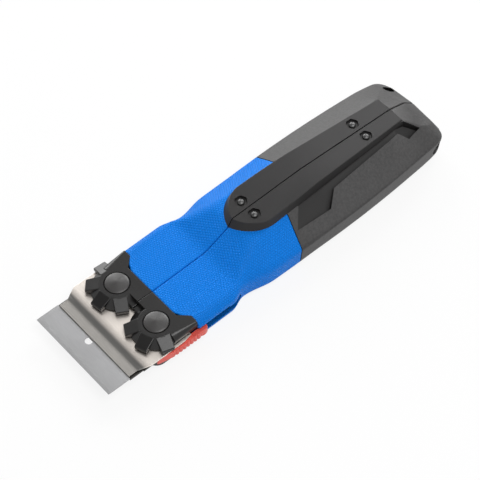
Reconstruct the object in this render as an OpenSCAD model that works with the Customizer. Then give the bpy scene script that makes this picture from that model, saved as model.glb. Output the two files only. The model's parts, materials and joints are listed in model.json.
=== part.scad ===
// Razor blade scraper with a blade carriage that slides back into the handle.
// Rest face at z = 0, blade edge towards +X, seam between the two halves at y = 0.

/* [Blade] */
// Width of the blade along its edge
blade_w = 38; // [36:0.5:42]
// Depth of the blade from its edge to its back
blade_depth = 19; // [18:0.5:21]
// Thickness of the blade
blade_t = 0.3; // [0.2:0.05:0.5]
// Height of the blade's underside above the rest face
blade_z = 5.9; // [5.5:0.1:6.5]
// Distance of the blade's edge ahead of the origin
edge_x = 77; // [74:0.5:82]
// Width of the ground bevel along the edge
edge_bevel = 1.4; // [0.8:0.1:2.5]
// Diameter of the round hole in the blade
blade_hole_d = 2.7; // [2:0.1:4]
// Distance from the edge to the hole's centre
blade_hole_in = 7.9; // [7:0.1:10]
// Distance of the hole off the blade's middle, towards the right
blade_hole_off = 1.2; // [0:0.1:2]
// Distance from the edge to the step at each end of the blade
blade_step_in = 8; // [7:0.1:8.5]
// Depth of the step at each end of the blade
blade_step = 1.2; // [0.6:0.1:2]
// Width of the folded steel back
back_w = 3.4; // [2.5:0.1:4.5]
// Thickness of each leaf of the folded back
back_leaf = 0.4; // [0.25:0.05:0.5]

/* [Carrier] */
// How far the blade stands out of the lip
blade_out = 9; // [7:0.5:10]
// How far the lip's ends stand in from the blade's ends
lip_in = 0.7; // [0.5:0.1:1.5]
// How far the raised plate's sides stand out beyond the blade's ends
shoulder_out = 1.35; // [1:0.05:1.5]
// Thickness of the top plate
top_plate_t = 0.5; // [0.4:0.05:0.7]
// How far the base plate's front stands in from the blade's ends
base_in = 0.1; // [0.05:0.05:0.6]
// Thickness of the base plate
base_plate_t = 0.8; // [0.6:0.05:0.9]
// Length of the flat lip
lip_len = 3.5; // [2.5:0.1:5]
// Length of the sloping joggle behind the lip
joggle_len = 3; // [2:0.1:3.6]
// Rise of the joggle
joggle_h = 1; // [0.8:0.1:1.2]
// Length of the top plate from the lip's front edge
top_plate_len = 22; // [20:0.5:24]
// Width of the tongue that runs in the rails
tongue_w = 16; // [12:0.5:18]
// Length of the base plate with its tongue
base_plate_len = 48; // [46:0.5:50]
// Diameter of the carrier rivets
rivet_d = 2; // [1.5:0.1:2.5]
// Travel of the carriage
slide_travel = 16.5; // [15:0.5:17]

/* [Slider] */
// Length of the red slider
slider_len = 21; // [19:0.5:22]
// Thickness of the slider
slider_t = 2; // [1.8:0.1:2.4]
// Height of the slider's underside above the rest face
slider_z = 4; // [3.9:0.05:4.2]
// Distance from the blade's edge to the slider's front
slider_back = 20; // [19.8:0.1:21]
// Travel of the slider when it is pressed in
press_travel = 1.5; // [1:0.1:1.6]
// Number of serrations on the slider
serrations = 7; // [4:1:9]
// Depth of the serrations
serration_depth = 0.4; // [0.2:0.05:0.5]
// Diameter of the slider's guide pins
pin_d = 1.2; // [1:0.05:1.3]

/* [Head] */
// Height of the head's top face above the rest face
head_h = 11.2; // [11:0.1:12]
// Distance from the blade's edge to the cogs' centres
hub_back = 27.4; // [27:0.1:29]
// Distance between the cogs' centres
hub_spacing = 20.4; // [20:0.1:22]
// Radius of the cogs at the tips of their teeth
cog_tip_r = 10.7; // [10:0.1:12]
// Radius of the cogs at the roots of their teeth
cog_root_r = 8.4; // [7:0.1:8.8]
// Width of a tooth
tooth_w = 4.6; // [3.5:0.1:5]
// Reach of the low web between the cogs ahead of their centres
web_reach = 1.7; // [1:0.1:2.5]
// Number of teeth in a full cog
cog_teeth = 7; // [7:1:7]
// Diameter of the domed plugs
plug_d = 8.4; // [7:0.1:9]
// Depth of the plug's recess
plug_depth = 1; // [0.6:0.1:1.4]
// Rise of the plug's dome above the head
plug_rise = 0.8; // [0.4:0.1:1.2]
// Distance from the blade's edge to the rear edge of the head
head_rear_back = 34; // [33:0.5:35]
// How far the head's ears reach back beyond its rear edge
ear_reach = 3.6; // [2:0.1:5]
// How far the ears' sides stand in from the grips' sides
ear_in = 0.4; // [0.1:0.1:0.8]

/* [Grips] */
// How far the grips' sides stand out beyond the blade's ends
grip_out = 0.6; // [0.5:0.1:2]
// Thickness of the grips over the shells
grip_t = 1.5; // [1:0.1:1.6]
// Depth of the waist on each side
waist_depth = 2.2; // [1:0.1:2.6]
// Distance from the origin to the waist's deepest point
waist_x = 17.5; // [16:0.5:19]
// Reach of the waist ahead of its deepest point
waist_front = 7; // [5:0.5:9]
// Reach of the waist behind its deepest point
waist_rear = 13; // [9:0.5:15]
// Distance of the left grip's rear edge behind the origin
left_grip_rear = 6; // [5:0.5:8]
// Distance of the right grip's rear edge behind the origin
right_grip_rear = 20.5; // [16:0.5:24]
// Slant of the left grip's rear edge in degrees
left_grip_slant = 12; // [0:1:15]

/* [Handle] */
// Distance of the tail behind the origin
tail_len = 78.5; // [76:0.5:86]
// Width across the tail
tail_w = 35.2; // [33:0.2:36]
// Bulge of the sides between the waist and the tail
side_bulge = 0.9; // [0.4:0.1:1.2]
// Radius of the tail's corners in plan
tail_corner_r = 5; // [3:0.5:8]
// Height of the upright sides
side_h = 11; // [10.6:0.1:12]
// Height of the grips where they meet the head
front_h = 11.1; // [10.9:0.1:11.6]
// Height of the grips at the foot of the ramp
ramp_foot_h = 12; // [11.7:0.1:12.4]
// Bevel along the bottom edges
bottom_bevel = 2; // [1.6:0.1:3]
// Wall thickness of the shells
wall = 2.4; // [2:0.1:2.8]
// Gap along the seam between the halves
seam_gap = 0.3; // [0.2:0.05:0.5]
// Diameter of the lanyard tunnel through the tail
lanyard_d = 4.4; // [3:0.1:5]
// Height of the lanyard tunnel above the rest face
lanyard_z = 6.35; // [5.5:0.05:6.5]
// Diameter of the lanyard hole in the tail's top
lanyard_top_d = 3.4; // [2.5:0.1:4]
// How far that hole stands off the centre of the tail's corner
lanyard_top_in = 1.3; // [0.8:0.1:1.6]

/* [Spine] */
// Width across the spine covers
spine_w = 19.4; // [18:0.2:20]
// Width across the spine covers at their rear end
spine_tail_w = 13.2; // [12:0.2:14]
// Height of the spine's highest point above the rest face
spine_h = 21.3; // [20.8:0.1:23]
// Thickness of the spine covers at their highest point
spine_t = 3.3; // [3:0.1:4]
// Distance of the spine's nose ahead of the origin
spine_front = 9.8; // [8:0.2:10]
// Length of the spine's pointed nose
spine_nose = 12; // [10:0.5:16]
// Distance of the spine's rear end behind the origin
spine_rear = 65; // [62:0.5:66]
// Width of the groove beside the left spine cover
groove_w = 2; // [1:0.1:2.4]
// Depth of that groove and of its pockets
groove_depth = 1.6; // [0.8:0.1:1.8]
// Distance of the groove's front pocket behind the origin
pocket_start = 11; // [10.5:0.5:14]
// Length of the front pocket
pocket_len = 13; // [8:0.5:20]
// Width of the front pocket beside the spine
pocket_w = 5.4; // [4:0.1:6]
// Length of the slanting end of the front pocket
pocket_slant = 5.5; // [3:0.5:8]
// Length of the groove's rear pocket
rear_pocket_len = 6.5; // [4:0.5:8]

/* [Fasteners] */
// Distance of the front pair of spine screws ahead of the origin
screw_front = 0.9; // [0:0.1:2]
// Distance of the rear pair of spine screws behind the origin
screw_rear = 50.3; // [46:0.1:54]
// Distance between the two screws of a pair
screw_spacing = 6.9; // [6:0.1:9]
// Diameter of a screw's head
screw_head_d = 2.8; // [2.4:0.1:3.2]
// Diameter of a screw's shank
screw_d = 1.7; // [1.4:0.1:1.9]

/* [Hidden] */
$fn = 48;

// Clearances and the overrun of cuts
run_gap = 0.1;
side_gap = 0.3;
pin_gap = 0.05;
thread_gap = 0.02;
over = 1;

// Widths that follow the blade's, and the deck under the spine covers
carrier_w = blade_w - 2 * lip_in;
base_w = blade_w - 2 * base_in;
shoulder_w = blade_w + 2 * shoulder_out;
grip_w = blade_w + 2 * grip_out;
ear_w = grip_w - 2 * ear_in;
deck_h = spine_h - spine_t;

// Heights of the carriage's stack
base_z = blade_z - base_plate_t;
lip_z = blade_z + blade_t;
plate_z = lip_z + joggle_h;
rivet_head_t = top_plate_t / 2;
chan_floor = slider_z - 2 * run_gap;
chan_top = plate_z + top_plate_t + rivet_head_t + 2 * run_gap;
slider_h = plate_z - 2 * run_gap - slider_z;
head_cover_t = head_h - chan_top;

// Places along X
lip_x = edge_x - blade_out;
bend_x = lip_x - lip_len;
rise_x = bend_x - joggle_len;
blade_back_x = edge_x - blade_depth;
blade_step_x = edge_x - blade_step_in;
plate_rear_x = lip_x - top_plate_len;
tongue_rear_x = lip_x - base_plate_len;
slider_front_x = edge_x - slider_back;
slider_rear_x = slider_front_x - slider_len;
base_wide_x = slider_front_x + 2 * side_gap;
hub_x = edge_x - hub_back;
jaw_front_x = hub_x + cog_root_r;
head_rear_x = edge_x - head_rear_back;
ear_rear_x = head_rear_x - ear_reach;
slot_rear_x = slider_rear_x - slide_travel - side_gap;
plate_slot_x = plate_rear_x - slide_travel - side_gap;
neck_front_x = waist_x + waist_front - grip_t;
stop_len = 2.2;
chan_rear_x = tongue_rear_x - slide_travel - stop_len - side_gap;

// The flare of the carrier's shoulders behind its joggle, and the tongue's reach under it
shoulder_flare = 1.3;
plate_overlap = 1.5;

// Rails and runners that carry the carriage
chan_hw = carrier_w / 2 + side_gap;
rail_t = 3.8;
rail_grip = 0.8;
rail_h = 3.1;
runner_w = 1.2;
jaw_round = 4;
cover_tongue_hw = chan_hw - grip_t;

// The slider's seat, stem, bracket, pins and spring
slider_sunk = 0.5;
slider_y = grip_w / 2 - slider_sunk;
stem_t = 1.7;
stem_y = slider_y - stem_t;
bracket_y = stem_y - press_travel - 2 * run_gap;
bracket_t = 3.2;
bracket_len = 9;
bracket_x = plate_rear_x + run_gap;
pin_z = blade_z;
pin_share = 0.2;
pin_hold = bracket_t / 2;
pin_reach = 1.2;
pin_len = pin_hold + press_travel + 2 * run_gap + pin_reach;
pin_xs = [bracket_x + bracket_len * pin_share, bracket_x + bracket_len * (1 - pin_share)];
spring_x = bracket_x + bracket_len / 2;
spring_d = 1.9;
spring_deep = 2.2;
spring_wire = 0.26;
spring_turns = 5;
spring_sides = 6;
spring_ring_steps = 8;

// The carrier's rivets, clear of the bracket
rivet_margin = 2.5;
rivet_y = bracket_y - bracket_t - rivet_d - rivet_margin;
rivet_xy = [[plate_rear_x + 2 * rivet_d, tongue_w / 4], [plate_rear_x + 4 * rivet_d, rivet_y]];

// The latch and its notched strip
strip_w = 1.5;
strip_h = 1;
strip_y = bracket_y - bracket_t + runner_w;
latch_w = 3;
latch_t = 0.6;
latch_x = plate_rear_x - latch_w - runner_w;
notch = 0.7;

// The handle's form
head_hw = ear_w / 2;
grip_hw = grip_w / 2;
tail_hw = tail_w / 2;
taper_front_x = 5;
taper_rear = 62;
taper_hw = grip_hw - side_gap;
taper_deg = atan((taper_hw - tail_hw) / (taper_front_x + taper_rear));
bow_run = waist_x + tail_len - tail_corner_r;
bow_share = 1 / 3;
section_hw = taper_hw + bow_share * (grip_hw - tail_hw) + side_bulge;
deck_margin = 0.3;
shoulder_y = spine_w / 2 + deck_margin;
ramp_top_x = 8;
ramp_foot_x = 20;
tail_crease = 8.1;
tail_crease_drop = 0.6;
tail_brow = 1.7;
tail_brow_drop = 4.7;
tail_end_h = 10;
front_chamfer = 2.5;
cavity_rear = 66;
cavity_front_x = chan_rear_x - wall;
ear_y = 12.5;
ear_slope = 3.3;
arc_steps = 12;

// How much wider one end of a pocket is than the other
pocket_flare = 1;

// The lanyard tunnel
lanyard_x = -tail_len + tail_corner_r;
lanyard_top_x = lanyard_x - lanyard_top_in;
lanyard_top_y = tail_hw - tail_corner_r - lanyard_top_in;

// The cogs' turn about their centres
right_cog_phase = 9;
left_cog_phase = 21;

// The spine's crown, its screws and the chassis
nose_x = spine_front - spine_nose;
spine_deg = atan((spine_w - spine_tail_w) / (2 * (nose_x + spine_rear)));
spine_nose_drop = 1;
spine_tail_drop = 2;
spine_peak = 22.7;
screw_head_h = 1.2;
screw_sunk = 1;
screw_seat_z = spine_h - screw_sunk - screw_head_h;
chassis_w = 11;
chassis_h = 4.4;
chassis_top = deck_h - wall;
chassis_z = chassis_top - chassis_h;
chassis_end = 5;
chassis_front_x = screw_front + chassis_end;

// Half width of the plan outline at a place along X: sides that bow in towards the tail,
// with the waist as a smooth dip
function waist_share(u) = abs(u) > 1 ? 0 : (1 + cos(180 * u)) / 2;
function waist_at(x) = x > waist_x ? waist_share((x - waist_x) / waist_front)
    : waist_share((x - waist_x) / waist_rear);
function bow_at(x) = pow(max(0, waist_x - x) / bow_run, 2);
function bulge_at(x) = sin(180 * max(0, waist_x - waist_rear - x) / (bow_run - waist_rear));
function half_w(x) = grip_hw - (grip_hw - tail_hw) * bow_at(x) + side_bulge * bulge_at(x)
    - waist_depth * waist_at(x);
function waist_xs() = [for (i = [0 : 2 * arc_steps])
    waist_x + waist_front - i * (waist_front + waist_rear) / (2 * arc_steps)];
function bow_xs() = [for (i = [1 : arc_steps - 1]) waist_x - waist_rear - i * (bow_run - waist_rear) / arc_steps];

// Points of a circular arc
function arc(c, r, a0, a1, n) = [for (i = [0 : n]) let (a = a0 + (a1 - a0) * i / n) c + r * [cos(a), sin(a)]];

// Plan outline of the left half of the handle, inset all round
module plan_outline(inset) {
    tail_x = -tail_len + inset;
    hw_t = tail_hw - inset;
    polygon(concat([[edge_x, -over], [edge_x, grip_hw - inset]],
        [for (x = concat(waist_xs(), bow_xs())) [x, half_w(x) - inset]],
        arc([tail_x + tail_corner_r, hw_t - tail_corner_r], tail_corner_r, 90, 180, arc_steps),
        [[tail_x, -over]]));
}

// Side outline of the handle without its spine, inset all round
module side_outline(inset) {
    polygon([[edge_x, inset], [edge_x, front_h - inset], [head_rear_x, front_h - inset],
        [ramp_foot_x, ramp_foot_h - inset], [ramp_top_x, deck_h - inset],
        [-tail_len + 2 * tail_crease, deck_h - inset],
        [-tail_len + tail_crease, deck_h - tail_crease_drop - inset],
        [-tail_len + tail_brow + inset, deck_h - tail_brow_drop - inset],
        [-tail_len + inset, tail_end_h - inset],
        [-tail_len + inset, bottom_bevel], [-tail_len + bottom_bevel, inset]]);
}

// Cross section of the left half, inset all round
module half_section(inset) {
    polygon([[-section_hw, inset], [section_hw - bottom_bevel, inset], [section_hw - inset, bottom_bevel],
        [section_hw - inset, side_h - inset / 2], [shoulder_y - inset / 2, deck_h - inset],
        [-section_hw, deck_h - inset]]);
}

// Left half of the handle's outer form, inset all round
module half_form(inset) {
    intersection() {
        translate([taper_front_x, 0, 0]) rotate([0, 0, taper_deg]) rotate([90, 0, 90])
            linear_extrude(height = 4 * tail_len, center = true) half_section(inset);
        translate([0, grip_w, 0]) rotate([90, 0, 0])
            linear_extrude(height = 2 * grip_w) side_outline(inset);
        linear_extrude(height = spine_h) plan_outline(inset);
        translate([-2 * tail_len, seam_gap / 2, -over]) cube([4 * tail_len, grip_w, spine_h + 2 * over]);
        front_edge_clip(inset);
    }
}

// Leaves the front deck's outer edge chamfered, less and less towards the ramp
module front_edge_clip(inset) {
    run = head_rear_x - ramp_top_x;
    tilt = atan(front_chamfer / run);
    difference() {
        translate([-2 * tail_len, -over, -over]) cube([4 * tail_len, grip_w, spine_h + 2 * over]);
        translate([ramp_top_x, grip_hw - inset, front_h - inset]) rotate([0, 0, -tilt]) rotate([-45, 0, 0])
            translate([0, -grip_w / 2, 0]) cube([2 * run, grip_w, grip_w]);
    }
}

// Everything ahead of the grip's rear edge, which may slant with height
module grip_zone(rear, slant) {
    translate([-rear, 0, 0]) rotate([0, -slant, 0])
        translate([0, -over, -spine_h]) cube([2 * edge_x, grip_w, 4 * spine_h]);
}

// Plan of the head's rear boundary, for the left half, grown by a gap
module head_rear_plan(gap) {
    polygon([[2 * edge_x, -over], [head_rear_x - gap, -over], [head_rear_x - gap, ear_y],
        [ear_rear_x - gap, ear_y + ear_slope], [ear_rear_x - gap, grip_w], [2 * edge_x, grip_w]]);
}

// Space that the carriage sweeps, from the neck to the front
module carriage_channel() {
    translate([neck_front_x, -over, chan_floor]) cube([2 * edge_x, chan_hw + over, chan_top - chan_floor]);
    translate([chan_rear_x, -over, chan_floor])
        cube([edge_x, tongue_w / 2 - rail_grip + rail_t + over, chan_top - chan_floor]);
}

// Core that the grip's front half closes over: the covers' and the jaw's tongues
module front_core() {
    translate([neck_front_x, -over, grip_t]) cube([2 * edge_x, chan_hw + over, chan_top - grip_t]);
    translate([neck_front_x, -over, chan_top - over])
        cube([2 * edge_x, cover_tongue_hw + over, front_h - grip_t - chan_top + over]);
}

// Screw holes on one side, drawn down from the spine
module screw_holes(d) {
    for (x = [screw_front, -screw_rear])
        translate([x, screw_spacing / 2, chassis_z - over]) cylinder(d = d, h = spine_h);
}

// One half of the handle: full form behind the grip, and the neck inside it
module shell_half(rear, slant, grooved) {
    difference() {
        union() {
            difference() {
                half_form(0);
                grip_zone(rear, slant);
            }
            difference() {
                intersection() {
                    half_form(grip_t);
                    grip_zone(rear + over, slant);
                }
                translate([neck_front_x, -over, -over]) cube([edge_x, grip_w, spine_h]);
            }
        }
        shell_cavity();
        chassis_pocket();
        carriage_channel();
        screw_holes(screw_d + 2 * run_gap);
        if (grooved) spine_groove();
    }
}

// Hollow of the shell, closed at the tail and ahead of the chassis
module shell_cavity() {
    intersection() {
        half_form(wall);
        translate([-cavity_rear, -over, 0])
            cube([cavity_front_x + cavity_rear, grip_w, spine_h]);
    }
}

// Room for the front of the chassis, ahead of the hollow
module chassis_pocket() {
    translate([cavity_front_x - over, -over, chassis_z - run_gap])
        cube([chassis_front_x + run_gap - cavity_front_x + over, chassis_w / 2 + run_gap + over,
            chassis_h + 2 * run_gap]);
}

// Groove along the foot of the left spine cover, with a pocket at each end
module spine_groove() {
    front = -pocket_start - taper_front_x;
    rear = -spine_rear - taper_front_x;
    groove_y = shoulder_y + groove_w;
    pocket_y = shoulder_y + pocket_w;
    difference() {
        translate([taper_front_x, 0, side_h / 2]) rotate([0, 0, spine_deg]) linear_extrude(height = spine_h)
            polygon([[front, shoulder_y - over], [front, pocket_y - pocket_flare],
                [front - pocket_len, pocket_y], [front - pocket_len - pocket_slant, groove_y],
                [rear + groove_w, groove_y], [rear, pocket_y],
                [rear - rear_pocket_len, pocket_y - pocket_flare], [rear - groove_w, shoulder_y - over]]);
        half_form(groove_depth);
    }
}

// Lanyard tunnel across the tail, from the seam outwards
module lanyard_tunnel(reach) {
    translate([lanyard_x, -over, lanyard_z]) rotate([-90, 0, 0]) cylinder(d = lanyard_d, h = reach + over);
}

module right_shell() color("#6f6c6c") mirror([0, 1, 0]) difference() {
    shell_half(right_grip_rear, 0, false);
    lanyard_tunnel(lanyard_top_y + lanyard_d / 2);
    translate([lanyard_top_x, lanyard_top_y, lanyard_z]) cylinder(d = lanyard_top_d, h = spine_h);
}

// Slot in the left side that the slider runs in
module slider_slot() {
    translate([slot_rear_x, stem_y, slider_z - run_gap]) cube([edge_x, grip_w, slider_h + 2 * run_gap]);
}

module left_shell() color("#565353") difference() {
    shell_half(left_grip_rear, left_grip_slant, true);
    lanyard_tunnel(grip_w);
    slider_slot();
}

// One blue grip: the skin between the outer form and the neck
module grip_half(rear, slant) {
    difference() {
        intersection() {
            half_form(0);
            grip_zone(rear, slant);
        }
        half_form_neck();
        front_core();
        linear_extrude(height = 2 * spine_h, center = true) head_rear_plan(run_gap);
        screw_holes(screw_d + 2 * run_gap);
    }
}

module half_form_neck() {
    difference() {
        half_form(grip_t);
        translate([neck_front_x, -over, -over]) cube([edge_x, grip_w, spine_h]);
    }
}

// Slot in each grip's side that the raised plate's edge runs in
module plate_slot() {
    translate([plate_slot_x, chan_hw - over, plate_z - run_gap])
        cube([edge_x, grip_w, top_plate_t + 2 * run_gap]);
}

module right_grip() color("#1e7de1") mirror([0, 1, 0]) difference() {
    grip_half(right_grip_rear, 0);
    plate_slot();
}

module left_grip() color("#1e7de1") difference() {
    grip_half(left_grip_rear, left_grip_slant);
    slider_slot();
    plate_slot();
}

// Plan of one head cover, with its cog at the hub and teeth at the given steps
module head_plan(phase, steps) {
    intersection() {
        difference() {
            head_rear_plan(0);
            translate([hub_x, -over]) square([edge_x, grip_w + over]);
        }
        translate([0, seam_gap / 2]) square([hub_x, head_hw - seam_gap / 2]);
    }
    intersection() {
        head_rear_plan(0);
        translate([hub_x, hub_spacing / 2]) circle(r = cog_root_r);
    }
    translate([hub_x, hub_spacing / 2]) {
        for (k = steps)
            rotate(phase + k * 360 / cog_teeth)
                translate([cog_root_r - over, -tooth_w / 2])
                    square([cog_tip_r - cog_root_r + over, tooth_w]);
    }
}

module head_cover(phase, steps) {
    difference() {
        union() {
            translate([0, 0, chan_top]) linear_extrude(height = head_cover_t) head_plan(phase, steps);
            cover_tongue();
            seam_web();
        }
        translate([hub_x, hub_spacing / 2, head_h - plug_depth])
            cylinder(d = plug_d + 2 * run_gap, h = plug_depth + over);
    }
}

// Low web of a head cover beside the seam, ahead of the cogs' centres
module seam_web() {
    translate([hub_x - over, seam_gap / 2, chan_top])
        cube([web_reach + over, hub_spacing / 2 - seam_gap / 2, head_cover_t / 2]);
}

// Tongue of a head cover, held under the grip
module cover_tongue() {
    translate([neck_front_x, seam_gap / 2, chan_top])
        cube([hub_x - neck_front_x, cover_tongue_hw - seam_gap / 2, front_h - grip_t - chan_top]);
}

module right_head_cover() color("#343231") mirror([0, 1, 0])
    head_cover(-right_cog_phase, [-1, 0, 1, 2]);

module left_head_cover() color("#343231") head_cover(left_cog_phase, [-1, 0, 1]);

// Domed plugs in the middle of the cogs
module hub_plugs() color("#3a3837") for (s = [-1, 1])
    translate([hub_x, s * hub_spacing / 2, head_h - plug_depth]) hub_plug();

module hub_plug() {
    r = plug_d / 2;
    dome_r = (r * r + plug_rise * plug_rise) / (2 * plug_rise);
    cylinder(d = plug_d, h = plug_depth);
    intersection() {
        translate([0, 0, plug_depth]) cylinder(d = plug_d, h = plug_rise);
        translate([0, 0, plug_depth + plug_rise - dome_r]) sphere(r = dome_r, $fn = 96);
    }
}

// Plate under the carriage, with a tongue inside the grips and two runners
module lower_jaw() color("#2e2c2c") {
    for (s = [0, 1]) mirror([0, s, 0]) {
        translate([0, 0, grip_t / 2]) linear_extrude(height = chan_floor - grip_t / 2) intersection() {
            head_rear_plan(0);
            union() {
                translate([0, -run_gap]) square([jaw_front_x - jaw_round, head_hw + run_gap]);
                translate([0, -run_gap]) square([jaw_front_x, head_hw - jaw_round + run_gap]);
                translate([jaw_front_x - jaw_round, head_hw - jaw_round]) circle(r = jaw_round);
            }
        }
        translate([neck_front_x, -run_gap, grip_t])
            cube([hub_x - neck_front_x, chan_hw + run_gap, chan_floor - grip_t]);
        translate([plate_rear_x, bracket_y - bracket_t - 2 * runner_w, grip_t])
            cube([jaw_front_x - plate_rear_x - runner_w, runner_w, base_z - run_gap - grip_t]);
    }
}

// Plan of one spine cover: pointed nose and tapering sides
module spine_plan() {
    hw = spine_w / 2;
    nose_r = (spine_nose * spine_nose + hw * hw) / (2 * hw);
    tip_a = asin(spine_nose / nose_r);
    polygon(concat([[-spine_rear, seam_gap / 2]],
        [for (p = arc([nose_x, hw - nose_r], nose_r, 90 - tip_a, 90, arc_steps)) if (p[1] > seam_gap / 2) p],
        [[-spine_rear, spine_tail_w / 2]]));
}

module spine_cover() {
    difference() {
        intersection() {
            translate([0, 0, deck_h]) linear_extrude(height = spine_h) spine_plan();
            translate([0, grip_w, 0]) rotate([90, 0, 0]) linear_extrude(height = 2 * grip_w)
                polygon([[spine_front + over, deck_h - over],
                    [spine_front + over, spine_h - spine_nose_drop - over],
                    [ramp_top_x, spine_h - spine_nose_drop], [-spine_peak, spine_h],
                    [-spine_rear, spine_h - spine_tail_drop], [-spine_rear - over, deck_h - over]]);
        }
        screw_holes(screw_d + 2 * run_gap);
        screw_seats();
    }
}

// Round seats for the screw heads
module screw_seats() {
    for (x = [screw_front, -screw_rear])
        translate([x, screw_spacing / 2, screw_seat_z])
            cylinder(d = screw_head_d + 2 * run_gap, h = spine_h);
}

module right_spine_cover() color("#403d3d") mirror([0, 1, 0]) spine_cover();

module left_spine_cover() color("#403d3d") spine_cover();

// Four dome-headed screws through the spine into the chassis
module spine_screws() color("#262525") for (x = [screw_front, -screw_rear], s = [-1, 1])
    translate([x, s * screw_spacing / 2, screw_seat_z]) {
        dome_r = screw_head_d / 2;
        intersection() {
            cylinder(d = screw_head_d, h = screw_head_h);
            translate([0, 0, screw_head_h - dome_r]) sphere(r = dome_r * sqrt(2));
        }
        translate([0, 0, chassis_z + over - screw_seat_z])
            cylinder(d = screw_d, h = screw_seat_z - chassis_z - over + run_gap);
    }

// Beam under the deck that the screws draw both halves to
module chassis() color("#8a8d91") difference() {
    translate([-screw_rear - chassis_w / 2, -chassis_w / 2, chassis_z])
        cube([chassis_front_x + screw_rear + chassis_w / 2, chassis_w, chassis_h]);
    for (s = [0, 1]) mirror([0, s, 0]) screw_holes(screw_d + 2 * thread_gap);
}

// Grooved rail beside the tongue
module guide_rail() {
    y0 = tongue_w / 2 - rail_grip;
    translate([chan_rear_x, 0, 0]) rotate([90, 0, 90])
        linear_extrude(height = neck_front_x - chan_rear_x) difference() {
            translate([y0, chan_floor]) square([rail_t, rail_h]);
            translate([y0 - over, base_z - run_gap])
                square([rail_grip + run_gap + over, base_plate_t + 2 * run_gap]);
        }
}

module right_guide_rail() color("#b8babd") mirror([0, 1, 0]) guide_rail();

module left_guide_rail() color("#b8babd") guide_rail();

// Notched strip on the jaw that the latch's nose stands behind
module detent_strip() color("#b8babd") {
    strip_front_x = plate_rear_x - side_gap;
    difference() {
        translate([neck_front_x, strip_y, chan_floor])
            cube([strip_front_x - neck_front_x, strip_w, strip_h]);
        for (x = [latch_x, latch_x - slide_travel])
            translate([x - run_gap, strip_y - over, chan_floor - over])
                cube([latch_w + 2 * run_gap, notch + over, strip_h + 2 * over]);
    }
}

// Block that the tongue meets when the blade is drawn in
module travel_stop() color("#55585c")
    translate([chan_rear_x, -tongue_w / 2 + rail_grip + run_gap, chan_floor])
        cube([stop_len, tongue_w - 2 * rail_grip - 2 * run_gap, rail_h]);

// Plan of the top plate: narrow lip, and a wider raised plate whose sides run in the grips' slots
module top_plate_plan() {
    hw = carrier_w / 2;
    sh = shoulder_w / 2;
    wide_x = rise_x - shoulder_flare;
    polygon([[lip_x, -hw], [lip_x, hw], [bend_x, hw], [wide_x, sh], [plate_rear_x, sh],
        [plate_rear_x, -sh], [wide_x, -sh], [bend_x, -hw]]);
}

module carrier_top_plate() color("#c9c5bf") difference() {
    intersection() {
        rotate([90, 0, 0]) linear_extrude(height = shoulder_w, center = true) top_plate_side();
        linear_extrude(height = spine_h) top_plate_plan();
    }
    rivet_holes();
}

// Side outline of the top plate: flat lip, joggle and raised plate
module top_plate_side() {
    polygon([[lip_x, lip_z], [bend_x, lip_z], [rise_x, plate_z], [plate_rear_x, plate_z],
        [plate_rear_x, plate_z + top_plate_t], [rise_x, plate_z + top_plate_t],
        [bend_x, lip_z + top_plate_t], [lip_x, lip_z + top_plate_t]]);
}

module rivet_holes() for (p = rivet_xy, s = [-1, 1])
    translate([p[0], s * p[1], 0]) cylinder(d = rivet_d + 2 * thread_gap, h = spine_h);

// Base plate under the blade, its tongue, and a groove for the blade's folded back
module carrier_base_plate() color("#4a4a4c") difference() {
    translate([0, 0, base_z]) linear_extrude(height = base_plate_t) {
        difference() {
            translate([plate_rear_x, -carrier_w / 2]) square([lip_x - plate_rear_x, carrier_w]);
            translate([plate_rear_x - over, bracket_y - bracket_t - run_gap])
                square([slider_front_x + side_gap - plate_rear_x + over, grip_w]);
        }
        translate([base_wide_x, -base_w / 2]) square([lip_x - base_wide_x, base_w]);
        translate([tongue_rear_x, -tongue_w / 2])
            square([plate_rear_x + plate_overlap - tongue_rear_x, tongue_w]);
    }
    translate([blade_back_x - back_leaf - run_gap, -blade_w / 2, blade_z - back_leaf - run_gap])
        cube([back_w + 2 * run_gap, blade_w, back_leaf + run_gap + over]);
    rivet_holes();
}

// Shouldered rivets that hold the plates apart
module carrier_rivets() color("#9a9a9c") for (p = rivet_xy, s = [-1, 1])
    translate([p[0], s * p[1], 0]) {
        translate([0, 0, base_z]) cylinder(d = rivet_d, h = plate_z + top_plate_t - base_z);
        translate([0, 0, blade_z]) cylinder(d = 2 * rivet_d, h = plate_z - blade_z);
        translate([0, 0, plate_z + top_plate_t]) cylinder(d = 2 * rivet_d, h = rivet_head_t);
    }

// Single-edge blade with a ground edge, stepped ends and a round hole
module blade() color("#aaaaaa") difference() {
    intersection() {
        linear_extrude(height = spine_h) polygon([[edge_x, -blade_w / 2], [edge_x, blade_w / 2],
            [blade_step_x, blade_w / 2], [blade_step_x, blade_w / 2 - blade_step],
            [blade_back_x, blade_w / 2 - blade_step], [blade_back_x, -blade_w / 2 + blade_step],
            [blade_step_x, -blade_w / 2 + blade_step], [blade_step_x, -blade_w / 2]]);
        rotate([90, 0, 0]) linear_extrude(height = blade_w, center = true)
            polygon([[blade_back_x, blade_z], [edge_x - edge_bevel, blade_z], [edge_x, blade_z + blade_t / 2],
                [edge_x - edge_bevel, blade_z + blade_t], [blade_back_x, blade_z + blade_t]]);
    }
    translate([edge_x - blade_hole_in, -blade_hole_off, 0]) cylinder(d = blade_hole_d, h = spine_h);
}

// Folded steel strip along the blade's back
module blade_back() color("#8f8f91")
    rotate([90, 0, 0]) linear_extrude(height = blade_w - 2 * blade_step, center = true) difference() {
        translate([blade_back_x - back_leaf, blade_z - back_leaf])
            square([back_w, blade_t + 2 * back_leaf]);
        translate([blade_back_x, blade_z]) square([back_w, blade_t]);
    }

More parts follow.
